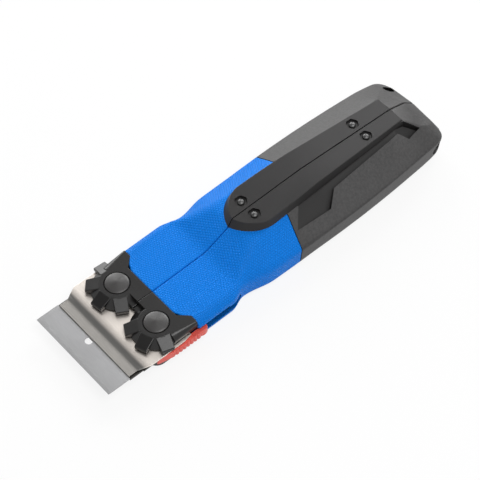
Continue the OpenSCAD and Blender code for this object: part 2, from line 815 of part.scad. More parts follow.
// Block between the plates that carries the slider's pins
module slider_bracket() color("#5c5f63") difference() {
    translate([bracket_x, bracket_y - bracket_t, base_z])
        cube([bracket_len, bracket_t, plate_z - base_z]);
    for (x = pin_xs) translate([x, bracket_y + over, pin_z]) rotate([90, 0, 0])
        cylinder(d = pin_d + 2 * thread_gap, h = pin_hold + over);
    translate([spring_x, bracket_y + over, pin_z]) rotate([90, 0, 0])
        cylinder(d = spring_d + 2 * run_gap, h = spring_deep + over);
}

// Pins that the slider moves in and out on
module slider_pins() color("#b8babd") for (x = pin_xs)
    translate([x, bracket_y - pin_hold, pin_z]) rotate([-90, 0, 0]) cylinder(d = pin_d, h = pin_len);

// Coil spring between the bracket and the slider's stem
function spring_point(i, r, y0, len) = let (a = 360 * i / spring_ring_steps)
    [r * cos(a), y0 + len * i / (spring_turns * spring_ring_steps), r * sin(a)];
module lock_spring() color("#c4c6c8") translate([spring_x, 0, pin_z]) {
    rings = spring_turns * spring_ring_steps;
    r = (spring_d - spring_wire) / 2;
    y0 = bracket_y - spring_deep + spring_wire;
    len = stem_y - spring_wire - y0;
    points = [for (i = [0 : rings]) let (a = 360 * i / spring_ring_steps)
        for (k = [0 : spring_sides - 1]) let (b = 360 * k / spring_sides)
            spring_point(i, r, y0, len) + spring_wire / 2 * [cos(b) * cos(a), sin(b), cos(b) * sin(a)]];
    quads = [for (i = [0 : rings - 1], k = [0 : spring_sides - 1]) let (m = (k + 1) % spring_sides)
        [[i * spring_sides + k, i * spring_sides + m, (i + 1) * spring_sides + m],
         [i * spring_sides + k, (i + 1) * spring_sides + m, (i + 1) * spring_sides + k]]];
    caps = [for (k = [1 : spring_sides - 2]) [[0, k + 1, k],
        [rings * spring_sides, rings * spring_sides + k, rings * spring_sides + k + 1]]];
    polyhedron(points, [for (pair = concat(quads, caps), f = pair) f]);
}

// Red slider: tapered front, serrated outer face and a stem behind the slot
module slider_button() color("#e0584c") difference() {
    union() {
        translate([0, 0, slider_z]) linear_extrude(height = slider_h) slider_plan();
        translate([bracket_x, stem_y, slider_z + side_gap])
            cube([bracket_len, stem_t + run_gap, slider_h - side_gap]);
    }
    for (x = pin_xs) translate([x, stem_y - over, pin_z]) rotate([-90, 0, 0])
        cylinder(d = pin_d + 2 * pin_gap, h = over + pin_len - pin_hold);
}

module slider_plan() {
    outer_y = slider_y + slider_t;
    taper = slider_len / 4;
    first_x = slider_rear_x + slider_len / 5;
    pitch = slider_len / 2 / serrations;
    difference() {
        polygon([[slider_rear_x, slider_y], [slider_front_x, slider_y],
            [slider_front_x, slider_y + slider_t / 3], [slider_front_x - taper, outer_y],
            [slider_rear_x + slider_t / 2, outer_y], [slider_rear_x, slider_y + slider_t / 2]]);
        for (i = [0 : serrations - 1]) translate([first_x + i * pitch, outer_y])
            polygon([[0, run_gap], [pitch / 2, -serration_depth], [pitch - run_gap, run_gap]]);
    }
}

// Steel tab on the slider, hooked over the notched strip
module latch_tab() color("#b8babd") {
    nose_y = strip_y - 2 * run_gap;
    leg_z = chan_floor + strip_h + 2 * run_gap;
    translate([latch_x, nose_y - strip_w, leg_z])
        cube([latch_w, slider_y - nose_y + strip_w, latch_t]);
    translate([latch_x, nose_y - strip_w, chan_floor + 2 * run_gap])
        cube([latch_w, strip_w, leg_z - chan_floor - 2 * run_gap]);
}

right_shell();
left_shell();
right_grip();
left_grip();
right_head_cover();
left_head_cover();
hub_plugs();
lower_jaw();
right_spine_cover();
left_spine_cover();
spine_screws();
chassis();
right_guide_rail();
left_guide_rail();
detent_strip();
travel_stop();
carrier_top_plate();
carrier_base_plate();
carrier_rivets();
blade();
blade_back();
slider_bracket();
slider_pins();
lock_spring();
slider_button();
latch_tab();
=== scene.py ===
"""Razor blade scraper: looks of the handle, head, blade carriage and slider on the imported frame."""
from __future__ import annotations

import json
import logging
import math
from dataclasses import dataclass
from enum import Enum
from typing import Any, Callable, Sequence

import bpy
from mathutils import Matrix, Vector

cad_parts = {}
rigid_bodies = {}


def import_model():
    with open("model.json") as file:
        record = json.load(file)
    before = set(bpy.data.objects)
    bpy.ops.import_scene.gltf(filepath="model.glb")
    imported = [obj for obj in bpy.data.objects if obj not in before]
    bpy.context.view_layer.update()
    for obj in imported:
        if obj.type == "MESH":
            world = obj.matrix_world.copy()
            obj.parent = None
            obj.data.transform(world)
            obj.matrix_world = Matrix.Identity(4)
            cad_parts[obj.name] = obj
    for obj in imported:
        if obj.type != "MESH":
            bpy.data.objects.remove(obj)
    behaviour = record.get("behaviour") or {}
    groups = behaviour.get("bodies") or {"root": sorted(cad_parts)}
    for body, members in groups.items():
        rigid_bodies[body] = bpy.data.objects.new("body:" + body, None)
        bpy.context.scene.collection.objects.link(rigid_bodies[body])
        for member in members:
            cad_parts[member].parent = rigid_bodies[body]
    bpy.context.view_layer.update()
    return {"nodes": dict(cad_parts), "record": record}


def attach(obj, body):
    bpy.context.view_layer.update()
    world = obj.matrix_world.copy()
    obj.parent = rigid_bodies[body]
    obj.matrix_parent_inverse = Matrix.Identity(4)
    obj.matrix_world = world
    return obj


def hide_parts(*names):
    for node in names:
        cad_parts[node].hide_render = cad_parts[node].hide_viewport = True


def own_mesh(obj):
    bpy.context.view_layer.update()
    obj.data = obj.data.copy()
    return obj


LOG = logging.getLogger("scraper")
# Sizes and places of the pieces are in millimetres, and the scene is in metres
MM = 0.001
# Points closer than this become one
WELD = MM / 1000
# Height or half width that lies past the whole object
BEYOND = 30.0
# Most of a straight run that the rounding at one of its ends takes
ROUND_SHARE = 0.48
# Places read to either side where the corners of a table are rounded
SOFT_STEPS = 4
# Stretch of a noise over which a finish goes from its dark to its light tone
MIDDLE_TONES = (0.3, 0.7)
Plan = list[tuple[float, float]]
Rows = Sequence[tuple[float, float]]
Ring = list[tuple[float, float, float]]
Colour = tuple[float, float, float]


class Side(Enum):
    """The two halves on either side of the seam."""

    RIGHT = -1
    LEFT = 1

    @property
    def label(self) -> str:
        """Name of the half as the frame's nodes use it."""
        return self.name.lower()


class Body(Enum):
    """Bodies of the frame that pieces ride on."""

    HOUSING = "housing"
    CARRIAGE = "carriage"
    SLIDER = "slider"


class Way(Enum):
    """Ways to combine two pieces, by the name of the operation."""

    CUT = "DIFFERENCE"
    JOIN = "UNION"


def blend(share: float, first: float, second: float) -> float:
    """Value that lies a share of the way from the first to the second."""
    return first + (second - first) * share


def ease(value: float, start: float, end: float) -> float:
    """Smooth step from 0 at start to 1 at end."""
    t = min(1.0, max(0.0, (value - start) / (end - start)))
    return t * t * (3 - 2 * t)


def along(table: Rows, x: float) -> float:
    """Value of a table of (x, value) rows at x, with straight runs between the rows.

    Args:
        table: rows in rising order of x.
        x: place to read.

    Returns:
        The value there, held at the table's ends.
    """
    if x <= table[0][0]:
        return table[0][1]
    for (x0, v0), (x1, v1) in zip(table, table[1:]):
        if x <= x1:
            return blend((x - x0) / (x1 - x0), v0, v1)
    return table[-1][1]


def softened(table: Rows, x: float, reach: float) -> float:
    """Value of a table with its corners rounded over a reach to either side of x."""
    steps = range(-SOFT_STEPS, SOFT_STEPS + 1)
    return sum(along(table, x + reach * k / SOFT_STEPS) for k in steps) / len(steps)


def spaced(start: float, end: float, count: int) -> list[float]:
    """Evenly spaced values from start to end, both included."""
    return [blend(i / (count - 1), start, end) for i in range(count)]


def turns(count: int) -> list[float]:
    """Evenly spaced angles of one whole turn."""
    return [2 * math.pi * k / count for k in range(count)]


def rounded_path(corners: Plan, radii: Sequence[float], arc: int, run: int) -> Plan:
    """Open path through corners that are rounded off.

    Args:
        corners: corner points in order; the first and the last are ends.
        radii: how far from its corner each rounding starts, one for each inner corner.
        arc: points on each rounding.
        run: points inside each straight run.

    Returns:
        Points along the path, always the same number for the same counts.
    """
    path: Plan = [corners[0]]
    last = Vector(corners[0])
    for i in range(1, len(corners)):
        here = Vector(corners[i])
        if i == len(corners) - 1:
            path += [tuple(last.lerp(here, k / (run + 1))) for k in range(1, run + 2)]
            break
        before, after = Vector(corners[i - 1]), Vector(corners[i + 1])
        reach = min(radii[i - 1], ROUND_SHARE * (here - before).length, ROUND_SHARE * (after - here).length)
        start = here + (before - here).normalized() * reach
        end = here + (after - here).normalized() * reach
        path += [tuple(last.lerp(start, k / (run + 1))) for k in range(1, run + 1)]
        for k in range(arc + 1):
            t = k / arc
            path.append(tuple(start.lerp(here, t).lerp(here.lerp(end, t), t)))
        last = end
    return path


class Bench:
    """Hand tools that work on one mesh at a time, with sizes in millimetres."""

    @staticmethod
    def clear() -> None:
        """Deselect everything."""
        bpy.ops.object.select_all(action="DESELECT")

    @staticmethod
    def take(piece: bpy.types.Object) -> None:
        """Make a piece the only selected and active one.

        Args:
            piece: the piece to select.
        """
        Bench.clear()
        bpy.context.view_layer.objects.active = piece
        piece.select_set(True)

    @staticmethod
    def edit(piece: bpy.types.Object, *steps: Callable[[], Any]) -> None:
        """Run operators on a piece in edit mode with its present selection.

        Args:
            piece: the mesh to work on.
            steps: calls that run one operator each.
        """
        Bench.take(piece)
        bpy.ops.object.mode_set(mode="EDIT")
        for step in steps:
            step()
        bpy.ops.object.mode_set(mode="OBJECT")

    @staticmethod
    def all_of(piece: bpy.types.Object, *steps: Callable[[], Any]) -> None:
        """Run operators on a piece in edit mode with all of it selected."""
        Bench.edit(piece, lambda: bpy.ops.mesh.select_all(action="SELECT"), *steps)

    @staticmethod
    def named(name: str) -> bpy.types.Object:
        """Name the piece that was just added.

        Args:
            name: name of the piece and of its mesh.

        Returns:
            The piece.
        """
        piece = bpy.context.active_object
        piece.name = name
        piece.data.name = name
        return piece

    @staticmethod
    def outward(piece: bpy.types.Object) -> None:
        """Turn all faces of a closed piece outwards."""
        Bench.all_of(piece, lambda: bpy.ops.mesh.normals_make_consistent(inside=False))

    @staticmethod
    def plate(name: str, outline: Rows, low: float, high: float) -> bpy.types.Object:
        """Flat plate with a plan outline.

        Args:
            name: name of the new piece.
            outline: corner points in plan.
            low: height of the underside.
            high: height of the top.

        Returns:
            The new piece.
        """
        Bench.clear()
        bpy.ops.mesh.primitive_circle_add(vertices=len(outline), radius=MM, fill_type="NGON")
        piece = Bench.named(name)
        for vertex, (x, y) in zip(piece.data.vertices, outline):
            vertex.co = Vector((x, y, low)) * MM
        rise = {"value": (0, 0, (high - low) * MM)}
        Bench.all_of(piece, lambda: bpy.ops.mesh.extrude_region_move(TRANSFORM_OT_translate=rise))
        Bench.outward(piece)
        return piece

    @staticmethod
    def block(name: str, low: Sequence[float], high: Sequence[float]) -> bpy.types.Object:
        """Box between two corners."""
        outline = [(low[0], low[1]), (high[0], low[1]), (high[0], high[1]), (low[0], high[1])]
        return Bench.plate(name, outline, low[2], high[2])

    @staticmethod
    def loft(name: str, rings: Sequence[Ring], lengths: Sequence[float] | None = None) -> bpy.types.Object:
        """Closed skin through closed rings of points, capped at both ends.

        Args:
            name: name of the new piece.
            rings: rings in order, all with the same number of points.
            lengths: place of each ring along the piece, for the surface map.

        Returns:
            The new piece, with a map of (place along it, girth from the first point) in metres.
        """
        Bench.clear()
        rows, cols = len(rings), len(rings[0])
        bpy.ops.mesh.primitive_grid_add(x_subdivisions=rows - 1, y_subdivisions=cols, size=1)
        piece = Bench.named(name)
        mesh = piece.data
        places = lengths or [float(i) for i in range(rows)]
        girths = [Bench.girth(ring) for ring in rings]
        layer = mesh.uv_layers.active.data
        spots = [(round((v.co.x + 0.5) * (rows - 1)), round((v.co.y + 0.5) * cols)) for v in mesh.vertices]
        for loop in mesh.loops:
            i, j = spots[loop.vertex_index]
            layer[loop.index].uv = (places[i] * MM, girths[i][j] * MM)
        for vertex, (i, j) in zip(mesh.vertices, spots):
            vertex.co = Vector(rings[i][j % cols]) * MM
        Bench.all_of(piece, lambda: bpy.ops.mesh.remove_doubles(threshold=WELD),
                     lambda: bpy.ops.mesh.fill_holes(sides=0),
                     lambda: bpy.ops.mesh.normals_make_consistent(inside=False))
        return piece

    @staticmethod
    def girth(ring: Ring) -> list[float]:
        """Length along a ring.

        Args:
            ring: points of the ring in order.

        Returns:
            The length at each point, and at the first one again.
        """
        sums = [0.0]
        for a, b in zip(ring, [*ring[1:], ring[0]]):
            sums.append(sums[-1] + math.dist(a, b))
        return sums

    @staticmethod
    def turned(name: str, profile: Plan, centre: Sequence[float], count: int = 64) -> bpy.types.Object:
        """Piece turned about an upright axis.

        Args:
            name: name of the new piece.
            profile: (radius, height) points from the foot to the top.
            centre: x and y of the axis.
            count: points round the axis.

        Returns:
            The new piece.
        """
        rings = [[(centre[0] + r * math.cos(a), centre[1] + r * math.sin(a), z) for a in turns(count)]
                 for r, z in profile]
        return Bench.loft(name, rings)

    @staticmethod
    def combine(piece: bpy.types.Object, tool: bpy.types.Object, way: Way = Way.CUT) -> None:
        """Cut a piece with a tool, or join the tool on, and remove the tool.

        Args:
            piece: the piece that stays.
            tool: the other piece, whose finish stays on its cut.
            way: whether the tool cuts or is joined on.
        """
        Bench.take(piece)
        step = piece.modifiers.new("combine", "BOOLEAN")
        step.operation, step.solver, step.object = way.value, "EXACT", tool
        step.material_mode = "TRANSFER"
        bpy.ops.object.modifier_apply(modifier=step.name)
        bpy.data.objects.remove(tool)

    @staticmethod
    def join(pieces: Sequence[bpy.types.Object]) -> bpy.types.Object:
        """Make one piece of several.

        Args:
            pieces: the pieces to join.

        Returns:
            The first of them, with the others in it.
        """
        Bench.clear()
        for piece in pieces:
            piece.select_set(True)
        bpy.context.view_layer.objects.active = pieces[0]
        bpy.ops.object.join()
        return pieces[0]

    @staticmethod
    def coat(piece: bpy.types.Object, finish: bpy.types.Material) -> None:
        """Give the whole of a piece one finish."""
        piece.data.materials.clear()
        piece.data.materials.append(finish)

    @staticmethod
    def round_edges(piece: bpy.types.Object, test: Callable[[Vector, Vector], bool],
                    width: float, steps: int = 2) -> None:
        """Bevel the edges whose two ends, in millimetres, pass a test.

        Args:
            piece: the mesh to work on.
            test: takes an edge's two ends.
            width: width of the bevel.
            steps: faces across it.
        """
        mesh = piece.data
        bpy.context.tool_settings.mesh_select_mode = (False, True, False)
        for item in (*mesh.vertices, *mesh.polygons):
            item.select = False
        for edge in mesh.edges:
            a, b = (mesh.vertices[i].co / MM for i in edge.vertices)
            edge.select = test(a, b)
        Bench.edit(piece, lambda: bpy.ops.mesh.bevel(offset=width * MM, segments=steps, affect="EDGES"))

    @staticmethod
    def soften(piece: bpy.types.Object, width: float, steps: int = 2, angle: float = 40) -> None:
        """Bevel the sharp edges of a piece.

        Args:
            piece: the mesh to work on.
            width: width of the bevel.
            steps: faces across it.
            angle: least angle of an edge, in degrees.
        """
        Bench.take(piece)
        step = piece.modifiers.new("soften", "BEVEL")
        step.width, step.segments = width * MM, steps
        step.limit_method, step.angle_limit = "ANGLE", math.radians(angle)
        step.harden_normals = False
        bpy.ops.object.modifier_apply(modifier=step.name)

    @staticmethod
    def shade(piece: bpy.types.Object, angle: float, even: bool = True) -> None:
        """Shade a piece smooth, apart from its sharp edges.

        Args:
            piece: the mesh to shade.
            angle: least angle of a sharp edge, in degrees.
            even: whether large faces keep their own direction.
        """
        Bench.take(piece)
        bpy.ops.object.shade_smooth_by_angle(angle=math.radians(angle))
        if even:
            step = piece.modifiers.new("even", "WEIGHTED_NORMAL")
            step.keep_sharp = True
            bpy.ops.object.modifier_apply(modifier=step.name)

    @staticmethod
    def dress(piece: bpy.types.Object, body: Body, nodes: Sequence[str], slot: str) -> None:
        """Give a finished piece its body and the nodes that it stands for.

        Args:
            piece: the finished piece.
            body: body that it rides on.
            nodes: nodes of the frame that it replaces.
            slot: the record's material slot; not used.
        """
        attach(piece, body.value)
        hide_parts(*nodes)
        LOG.info("%s: %d faces on %s", piece.name, len(piece.data.polygons), body.value)


class Value:
    """Number in a shader that takes part in Python arithmetic."""

    def __init__(self, recipe: Recipe, out: bpy.types.NodeSocket) -> None:
        """Wrap an output socket of a recipe's node."""
        self.recipe, self.out = recipe, out

    def step(self, operation: str, *operands: Any) -> Value:
        """Add a Math node over this value and others."""
        node = self.recipe.add("ShaderNodeMath", {"operation": operation}, dict(enumerate(operands)))
        return Value(self.recipe, node.outputs[0])

    def __add__(self, other: Any) -> Value:
        """Sum."""
        return self.step("ADD", self, other)

    __radd__ = __add__

    def __rsub__(self, other: Any) -> Value:
        """Difference from a number."""
        return self.step("SUBTRACT", other, self)

    def __mul__(self, other: Any) -> Value:
        """Product."""
        return self.step("MULTIPLY", self, other)

    def __truediv__(self, other: Any) -> Value:
        """Quotient."""
        return self.step("DIVIDE", self, other)

    def low(self, other: Any) -> Value:
        """The lower of two values."""
        return self.step("MINIMUM", self, other)

    def wrapped(self, period: float) -> Value:
        """Offset from the nearest whole number of periods."""
        return self.step("WRAP", self, period / 2, -period / 2)

    def root(self) -> Value:
        """Square root."""
        return self.step("SQRT", self)

    def faded(self, start: float, end: float) -> Value:
        """Smooth rise from 0 at start to 1 at end."""
        node = self.recipe.add("ShaderNodeMapRange", {"interpolation_type": "SMOOTHSTEP"},
                               {"Value": self, "From Min": start, "From Max": end})
        return Value(self.recipe, node.outputs[0])


class Recipe:
    """Nodes of one finish or of the surroundings."""

    def __init__(self, owner: bpy.types.Material | bpy.types.World) -> None:
        """Start with no nodes but the coordinates.

        Args:
            owner: material or world that the nodes belong to.
        """
        owner.use_nodes = True
        self.owner, self.tree = owner, owner.node_tree
        self.tree.nodes.clear()
        self.coords = self.add("ShaderNodeTexCoord")

    @classmethod
    def named(cls, name: str) -> Recipe:
        """Recipe of a new material."""
        return cls(bpy.data.materials.new(name))

    def add(self, kind: str, settings: dict[str, Any] | None = None,
            inputs: dict[Any, Any] | None = None) -> bpy.types.Node:
        """Add a node.

        Args:
            kind: the node's type.
            settings: its own settings, set first.
            inputs: values or links of its sockets, by name or number.

        Returns:
            The new node.
        """
        node = self.tree.nodes.new(kind)
        for key, value in (settings or {}).items():
            setattr(node, key, value)
        for key, value in (inputs or {}).items():
            if isinstance(value, Value):
                value = value.out
            if isinstance(value, bpy.types.NodeSocket):
                self.tree.links.new(value, node.inputs[key])
            else:
                node.inputs[key].default_value = value
        return node

    def axis(self, vector: bpy.types.NodeSocket, name: str) -> Value:
        """One axis of a vector."""
        return Value(self, self.add("ShaderNodeSeparateXYZ", None, {0: vector}).outputs[name])

    def rays(self, *kinds: str) -> Value:
        """Test of the kind of ray.

        Args:
            kinds: kinds of ray, such as Camera.

        Returns:
            1 for rays of these kinds and 0 for all others.
        """
        path = self.add("ShaderNodeLightPath")
        total = Value(self, path.outputs[f"Is {kinds[0]} Ray"])
        for kind in kinds[1:]:
            total = total + Value(self, path.outputs[f"Is {kind} Ray"])
        return total.low(1.0)

    def noise(self, scale: float, detail: float = 2, stretch: Sequence[float] = (1, 1, 1)) -> Value:
        """Noise over the piece.

        Args:
            scale: how many features fit in a metre.
            detail: finer layers.
            stretch: share of the scale along each axis.

        Returns:
            Noise from 0 to 1.
        """
        spread = self.add("ShaderNodeMapping", None,
                          {"Vector": self.coords.outputs["Object"], "Scale": stretch})
        node = self.add("ShaderNodeTexNoise", None,
                        {"Vector": spread.outputs[0], "Scale": scale, "Detail": detail})
        return Value(self, node.outputs[0])

    def mixed(self, share: Value, first: Any, second: Any) -> bpy.types.NodeSocket:
        """Colour between two colours."""
        node = self.add("ShaderNodeMix", {"data_type": "RGBA"}, {0: share, 6: first, 7: second})
        return node.outputs[2]

    def bump(self, height: Value, depth: float, under: Any = None) -> bpy.types.NodeSocket:
        """Relief in the surface.

        Args:
            height: its height from 0 to 1.
            depth: its full depth in millimetres.
            under: another relief that it lies on.

        Returns:
            The normal.
        """
        inputs: dict[Any, Any] = {"Height": height, "Distance": depth * MM, "Strength": 1.0}
        if under is not None:
            inputs["Normal"] = under
        return self.add("ShaderNodeBump", None, inputs).outputs[0]

    def finish(self, **sockets: Any) -> bpy.types.Material:
        """Close the recipe with a principled surface.

        Args:
            sockets: its sockets, with _ for a space in the name.

        Returns:
            The material.
        """
        inputs = {key.replace("_", " "): value for key, value in sockets.items()}
        surface = self.add("ShaderNodeBsdfPrincipled", None, inputs)
        self.add("ShaderNodeOutputMaterial", None, {"Surface": surface.outputs[0]})
        return self.owner


def shade_of(colour: Colour, factor: float) -> tuple[float, float, float, float]:
    """A colour made darker or lighter, with full cover."""
    return (colour[0] * factor, colour[1] * factor, colour[2] * factor, 1.0)


@dataclass(frozen=True)
class MouldedPlastic:
    """Moulded plastic with a fine grain."""

    name: str
    colour: Colour
    roughness: float = 0.5
    grain: float = 3500.0
    grain_depth: float = 0.02
    mottling: float = 0.12
    specular: float = 0.5
    cloud: float = 120.0
    gloss_swing: float = 0.12
    grain_share: float = 0.6

    def build(self) -> bpy.types.Material:
        """Mix grain in relief, faint mottling and uneven gloss.

        Returns:
            The material.
        """
        recipe = Recipe.named(self.name)
        grain = recipe.noise(self.grain, 2)
        cloud = recipe.noise(self.cloud, 3)
        dark, light = shade_of(self.colour, 1 - self.mottling), shade_of(self.colour, 1 + self.mottling)
        tone = (grain * self.grain_share + cloud * (1 - self.grain_share)).faded(*MIDDLE_TONES)
        colour = recipe.mixed(tone, dark, light)
        gloss = self.roughness - self.gloss_swing / 2 + cloud * self.gloss_swing
        return recipe.finish(Base_Color=colour, Roughness=gloss, Specular_IOR_Level=self.specular,
                             Normal=recipe.bump(grain, self.grain_depth))


@dataclass(frozen=True)
class DottedRubber:
    """Soft grip with fine raised dots in staggered rows, the dots painted lighter than the gaps between them
    as painted light and shade.
    """

    name: str
    colour: Colour
    pitch: float = 0.95
    dot: float = 0.36
    height: float = 0.11
    roughness: float = 0.5
    specular: float = 0.1
    dot_edge: tuple[float, float] = (0.55, 1.25)
    dot_shade_share: float = 0.8
    tones: tuple[float, float] = (0.86, 1.06)
    grain: float = 5000.0
    grain_depth: float = 0.012

    def build(self) -> bpy.types.Material:
        """Set out dots that follow the piece's own map.

        Returns:
            The material.
        """
        recipe = Recipe.named(self.name)
        surface = recipe.add("ShaderNodeUVMap").outputs[0]
        x, y = recipe.axis(surface, "X"), recipe.axis(surface, "Y")
        across = self.pitch * MM
        row = across * math.sqrt(3)
        near = x.wrapped(across) * x.wrapped(across) + y.wrapped(row) * y.wrapped(row)
        mid_x, mid_y = (x + across / 2).wrapped(across), (y + row / 2).wrapped(row)
        away = near.low(mid_x * mid_x + mid_y * mid_y).root() / across
        dots = 1 - away.faded(*[self.dot * share for share in self.dot_edge])
        grain = recipe.noise(self.grain, 2)
        dark, light = (shade_of(self.colour, tone) for tone in self.tones)
        # The dots are painted lighter and the gaps between them darker: painted light and shade of the
        # relief, mixed with a random grain.
        colour = recipe.mixed(dots * self.dot_shade_share + grain * (1 - self.dot_shade_share), dark, light)
        skin = recipe.bump(grain, self.grain_depth)
        return recipe.finish(Base_Color=colour, Roughness=self.roughness, Specular_IOR_Level=self.specular,
                             Normal=recipe.bump(dots, self.height, skin))


@dataclass(frozen=True)
class Band:
    """Stretch of sheet from a place along the tool onwards, with its own tone and gloss; it carries painted
    shade on the raised plate and the ground finish of the blade's edge.
    """

    start: float
    fade: float
    colour: Colour
    gloss: float = 0.0


@dataclass(frozen=True)
class BrushedSteel:
    """Sheet steel with rolling or grinding lines."""

    name: str
    colour: Colour
    roughness: float = 0.35
    stretch: tuple[float, float, float] = (1.0, 0.03, 1.0)
    bands: tuple[Band, ...] = ()
    lines: float = 9000.0
    line_depth: float = 0.004
    cloud: float = 90.0
    tones: tuple[float, float] = (0.93, 1.06)
    gloss_swing: float = 0.12

    def build(self) -> bpy.types.Material:
        """Draw fine lines, and bands along the tool with their own tone: painted shade over the raised
        plate's bend and lip, and the blade's ground edge.

        Returns:
            The material.
        """
        recipe = Recipe.named(self.name)
        lines = recipe.noise(self.lines, 2, self.stretch)
        cloud = recipe.noise(self.cloud, 3)
        tone = ((lines + cloud) * 0.5).faded(*MIDDLE_TONES)
        colour = recipe.mixed(tone, *[shade_of(self.colour, share) for share in self.tones])
        gloss = self.roughness - self.gloss_swing / 2 + lines * self.gloss_swing
        for band in self.bands:
            x = recipe.axis(recipe.coords.outputs["Object"], "X")
            share = x.faded((band.start - band.fade / 2) * MM, (band.start + band.fade / 2) * MM)
            inside = recipe.mixed(tone, *[shade_of(band.colour, part) for part in self.tones])
            colour = recipe.mixed(share, colour, inside)
            gloss = gloss + share * band.gloss
        return recipe.finish(Base_Color=colour, Roughness=gloss, Metallic=1.0,
                             Normal=recipe.bump(lines, self.line_depth))


class Finishes:
    """All finishes of the scraper, each made once, by material slot."""

    def __init__(self) -> None:
        """Make every finish."""
        recipes = {
            "handle_plastic": MouldedPlastic("grained_grey_plastic", (0.0225, 0.0215, 0.0215), grain=1150,
                                             grain_depth=0.07, mottling=0.42, specular=0.55),
            # Near-black finish on the cut faces of the groove, the pockets and the lanyard openings: painted
            # shade in these recesses.
            "recess_plastic": MouldedPlastic("painted_recess_shade", (0.013, 0.0123, 0.0123), specular=0.35),
            "grip_rubber": DottedRubber("dotted_blue_rubber", (0.003, 0.209, 0.79)),
            "head_plastic": MouldedPlastic("half_gloss_black_plastic", (0.0098, 0.0092, 0.009),
                                           roughness=0.29, grain=4200, grain_depth=0.006, specular=0.38),
            # Lighter copy of the head's black plastic for the hub plugs: painted sheen that stands in for
            # the light that they reflect.
            "painted_sheen_on_plugs": MouldedPlastic("plug_painted_sheen", (0.037, 0.0352, 0.0344),
                                           roughness=0.36, grain=4200, grain_depth=0.006),
            "spine_plastic": MouldedPlastic("satin_black_plastic", (0.0112, 0.0104, 0.0106),
                                            roughness=0.42, grain=4200, grain_depth=0.01, specular=0.34),
            "screw_steel": BrushedSteel("blackened_screw_steel", (0.09, 0.09, 0.09), roughness=0.38),
            "inner_plastic": MouldedPlastic("grey_inner_plastic", (0.12, 0.125, 0.13)),
            "inner_steel": BrushedSteel("plain_inner_steel", (0.5, 0.5, 0.52), roughness=0.34),
            # The raised plate's two bands are painted shade: a darker tone over the bend and over the lip,
            # where the sheet turns away from the light.
            "plate_steel": BrushedSteel("bright_rolled_steel", (0.7, 0.648, 0.598), roughness=0.34,
                                        bands=(Band(start=62.3, fade=1.3, colour=(0.24, 0.235, 0.225)),
                                               Band(start=64.45, fade=0.3, colour=(0.29, 0.278, 0.262),
                                                    gloss=0.06))),
            "dark_steel": BrushedSteel("dark_base_steel", (0.05, 0.047, 0.045), roughness=0.42),
            "blade_steel": BrushedSteel("satin_blade_steel", (0.335, 0.335, 0.34), roughness=0.42,
                                        bands=(Band(start=75.6, fade=0.15, colour=(0.4, 0.4, 0.405),
                                                    gloss=-0.1),)),
            "slider_plastic": MouldedPlastic("half_gloss_red_plastic", (0.78, 0.1, 0.075),
                                             roughness=0.36, grain=3000, grain_depth=0.008, mottling=0.06),
        }
        self.materials = {slot: recipe.build() for slot, recipe in recipes.items()}

    def __getitem__(self, slot: str) -> bpy.types.Material:
        """Material of a slot."""
        return self.materials[slot]


